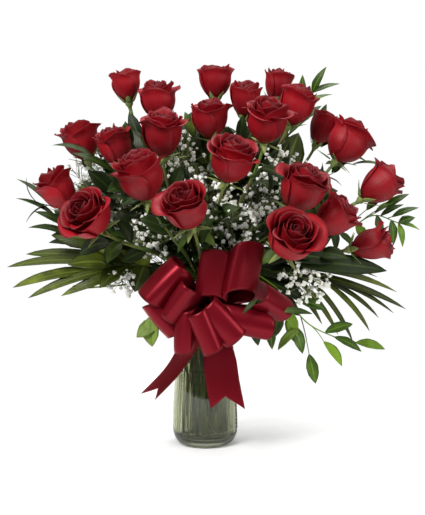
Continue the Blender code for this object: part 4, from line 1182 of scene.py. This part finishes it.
# Satin: long floats of glossy red yarn. Smooth and silky along the ribbon, with a bright soft
# highlight wherever it bends, and very fine threads across it, drawn coarser here than the real ones.
satin, satin_tree, satin_shader = start_material("red satin ribbon")
satin_uv = add(satin_tree, "ShaderNodeUVMap", uv_map="along")
satin_scale = add(satin_tree, "ShaderNodeMapping", {
    "Vector": satin_uv, "Scale": (THREADS_ACROSS, THREADS_ALONG, 1)})
satin_threads = add(satin_tree, "ShaderNodeTexNoise", {"Vector": satin_scale, "Scale": 1.0, "Detail": 2.0})
satin_split = add(satin_tree, "ShaderNodeSeparateXYZ", {"Vector": satin_uv})
satin_off = add(satin_tree, "ShaderNodeMath", {0: satin_split.outputs["X"], 1: 0.5}, operation="SUBTRACT")
satin_side = add(satin_tree, "ShaderNodeMath", {0: satin_off}, operation="ABSOLUTE")
satin_edge = add(satin_tree, "ShaderNodeMapRange", {
    "Value": satin_side, "From Min": 0.455, "From Max": 0.475, "To Min": 0.0, "To Max": 1.0})
satin_tone = add(satin_tree, "ShaderNodeValToRGB", {"Fac": satin_threads},
                 stops=((0.3, "#5A0411"), (0.7, "#780818")))
satin_colour = add(satin_tree, "ShaderNodeMix", {
    SHARE: satin_edge, FIRST: satin_tone, SECOND: linear("#5A0610")}, data_type="RGBA")
satin_height = add(satin_tree, "ShaderNodeMath", {0: satin_threads, 1: 0.4, 2: satin_edge},
                   operation="MULTIPLY_ADD")
satin_bump = add(satin_tree, "ShaderNodeBump", {
    "Height": satin_height, "Strength": 0.25, "Distance": 0.25 * MM})
satin_thread = add(satin_tree, "ShaderNodeTangent", direction_type="UV_MAP", uv_map="along")
set_inputs(satin_tree, satin_shader, {
    "Base Color": satin_colour, "Normal": satin_bump, "Tangent": satin_thread, "Metallic": 0.45,
    "Roughness": 0.32, "Specular IOR Level": 0.5, "Specular Tint": linear("#FFA4AC"), "Anisotropic": 0.5,
    "Sheen Weight": 0.22, "Sheen Roughness": 0.3, "Sheen Tint": linear("#FF6070")})


def ribbon_grid(centres, sides, widths, pleats, crown, aslant=False):
    """Rows across a ribbon. Pleats gather it where they are deep, and crown bows it across. aslant keeps
    the rows along their sides, where a fold crosses the ribbon at an angle."""
    ahead = np.gradient(centres, axis=0)
    x = np.linspace(-1, 1, ACROSS)
    rows = []
    for centre, forward, side, width, pleat, arch in zip(centres, ahead, sides, widths, pleats, crown):
        face = np.cross(forward, side)
        face /= np.linalg.norm(face)
        across = side if aslant else np.cross(face, forward)
        across = across / np.linalg.norm(across)
        rise = pleat * np.cos(x * math.pi * 2.5) + arch * (1 - x * x)
        rows.append(centre + np.outer(x * width / 2, across) + np.outer(rise, face))
    return np.array(rows)


def line_length(line):
    """Length along a line of points."""
    return float(np.linalg.norm(np.diff(line, axis=0), axis=1).sum())


knot_place = np.array(KNOT)
for number, (fold, run, fold_length, opening) in enumerate(BOW_LOOPS, start=1):
    out = np.array(fold) * MM
    along = out / np.linalg.norm(out)
    run = np.array(run) / np.linalg.norm(run)
    square = run - along * (run @ along)
    square /= np.linalg.norm(square)
    lift = np.cross(along, square)
    t = np.linspace(0.015, 0.985, LOOP_ROWS)
    far = np.sin(math.pi * t)
    luck = np.random.default_rng(40 + number)
    opened = opening * MM / 2 * np.sin(math.tau * t)
    ripple = LOOP_RIPPLE * np.sin(math.pi * 3 * t + luck.uniform(0, 6)) * far
    centres = knot_place + np.outer(far ** 0.62, out) + np.outer(opened + ripple, lift)
    spread = smooth_step(far / 0.75)
    sides = np.outer(1 - spread, square) + np.outer(spread, run)
    widths = RIBBON_WIDTH * LOOP_GATHER * (1 - spread) + fold_length * MM * spread
    pleats = LOOP_PLEAT * (1 - smooth_step(far / 0.6))
    crown = luck.uniform(0.5, 2.0) * MM * far
    shape = start_shape()
    add_grid(shape, ribbon_grid(centres, sides, widths, pleats, crown, aslant=True))
    loop = add_piece(f"bow_loop_{number:02d}", shape, satin, solid=SATIN_THICKNESS)

knot_shape = start_shape()
knot_rows = []
turns = np.linspace(0, math.tau, KNOT_COLUMNS, endpoint=False)
for share in np.linspace(-1, 1, KNOT_ROWS):
    girth = math.sqrt(max(1 - 0.8 * share * share, 0.02))
    fold = girth * (1 + 0.10 * np.sin(5 * turns + 2 * share) + 0.05 * np.sin(9 * turns))
    ring = np.stack([np.full_like(turns, share), np.cos(turns) * fold, np.sin(turns) * fold], -1)
    knot_rows.append(knot_place + ring * KNOT_HALF)
add_grid(knot_shape, knot_rows, around=True, ends=True)
knot = add_piece("bow_knot", knot_shape, satin)
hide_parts("ribbon_bow")

band_shape = start_shape()
band_turns = np.linspace(0, math.tau, BAND_COLUMNS, endpoint=False)
band_rows = []
for share in np.linspace(-1, 1, BAND_ROWS):
    height = KNOT.z + share * BAND_WIDTH / 2
    crease = BAND_CREASE * np.sin(share * 7 + 0.8 * np.sin(2 * band_turns))
    band_rows += turned_rows([(vase_radius(height) + BAND_GAP + crease, height)], band_turns)
add_grid(band_shape, band_rows, around=True)
band = add_piece("ribbon_band", band_shape, satin, solid=SATIN_THICKNESS)
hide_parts("ribbon_neck_band")

# Two tails: how far each turns about its own length in degrees, how much the cut slants in mm, and
# places from the knot in mm
TAILS = {
    "ribbon_tail_left": (-58, 0, ((-9, 9, -13), (-27, 6, -52), (-48, -4, -86), (-80, -6, -120))),
    "ribbon_tail_right": (0, 9, ((8, 10, -7), (12, 0, -56), (17, -4, -98), (25, -8, -140))),
}
NOTCH_DEPTH = 17 * MM
for name, (roll, slant, stops) in TAILS.items():
    places = knot_place + np.array(stops) * MM
    line = smooth_line(places, 3 * MM)
    run = Vector(places[-1] - places[0])
    flat = run.cross(Vector((0, 1, 0))).normalized()
    share = np.linspace(0, 1, len(line))
    eased = smooth_step(share * 1.8)
    sides = [np.array(Matrix.Rotation(math.radians(roll) * ease, 3, run) @ flat) for ease in eased]
    widths = RIBBON_WIDTH * (TAIL_GATHER + (1 - TAIL_GATHER) * eased)
    wave = TAIL_RIPPLE * np.sin(share * 9) * share
    grid = ribbon_grid(line, sides, widths, TAIL_PLEAT * (1 - smooth_step(share / 0.5)), wave)
    x = np.linspace(-1, 1, ACROSS)
    whole = line_length(line)
    cut = 1 - (NOTCH_DEPTH * (1 - np.abs(x)) + slant * MM * (1 - x) / 2) / whole
    notched = np.empty_like(grid)
    for column, end in enumerate(cut):
        for k in range(3):
            notched[:, column, k] = np.interp(share * end, share, grid[:, column, k])
    shape = start_shape()
    add_grid(shape, notched)
    tail = add_piece(name + "_satin", shape, satin, solid=SATIN_THICKNESS)
    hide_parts(name)
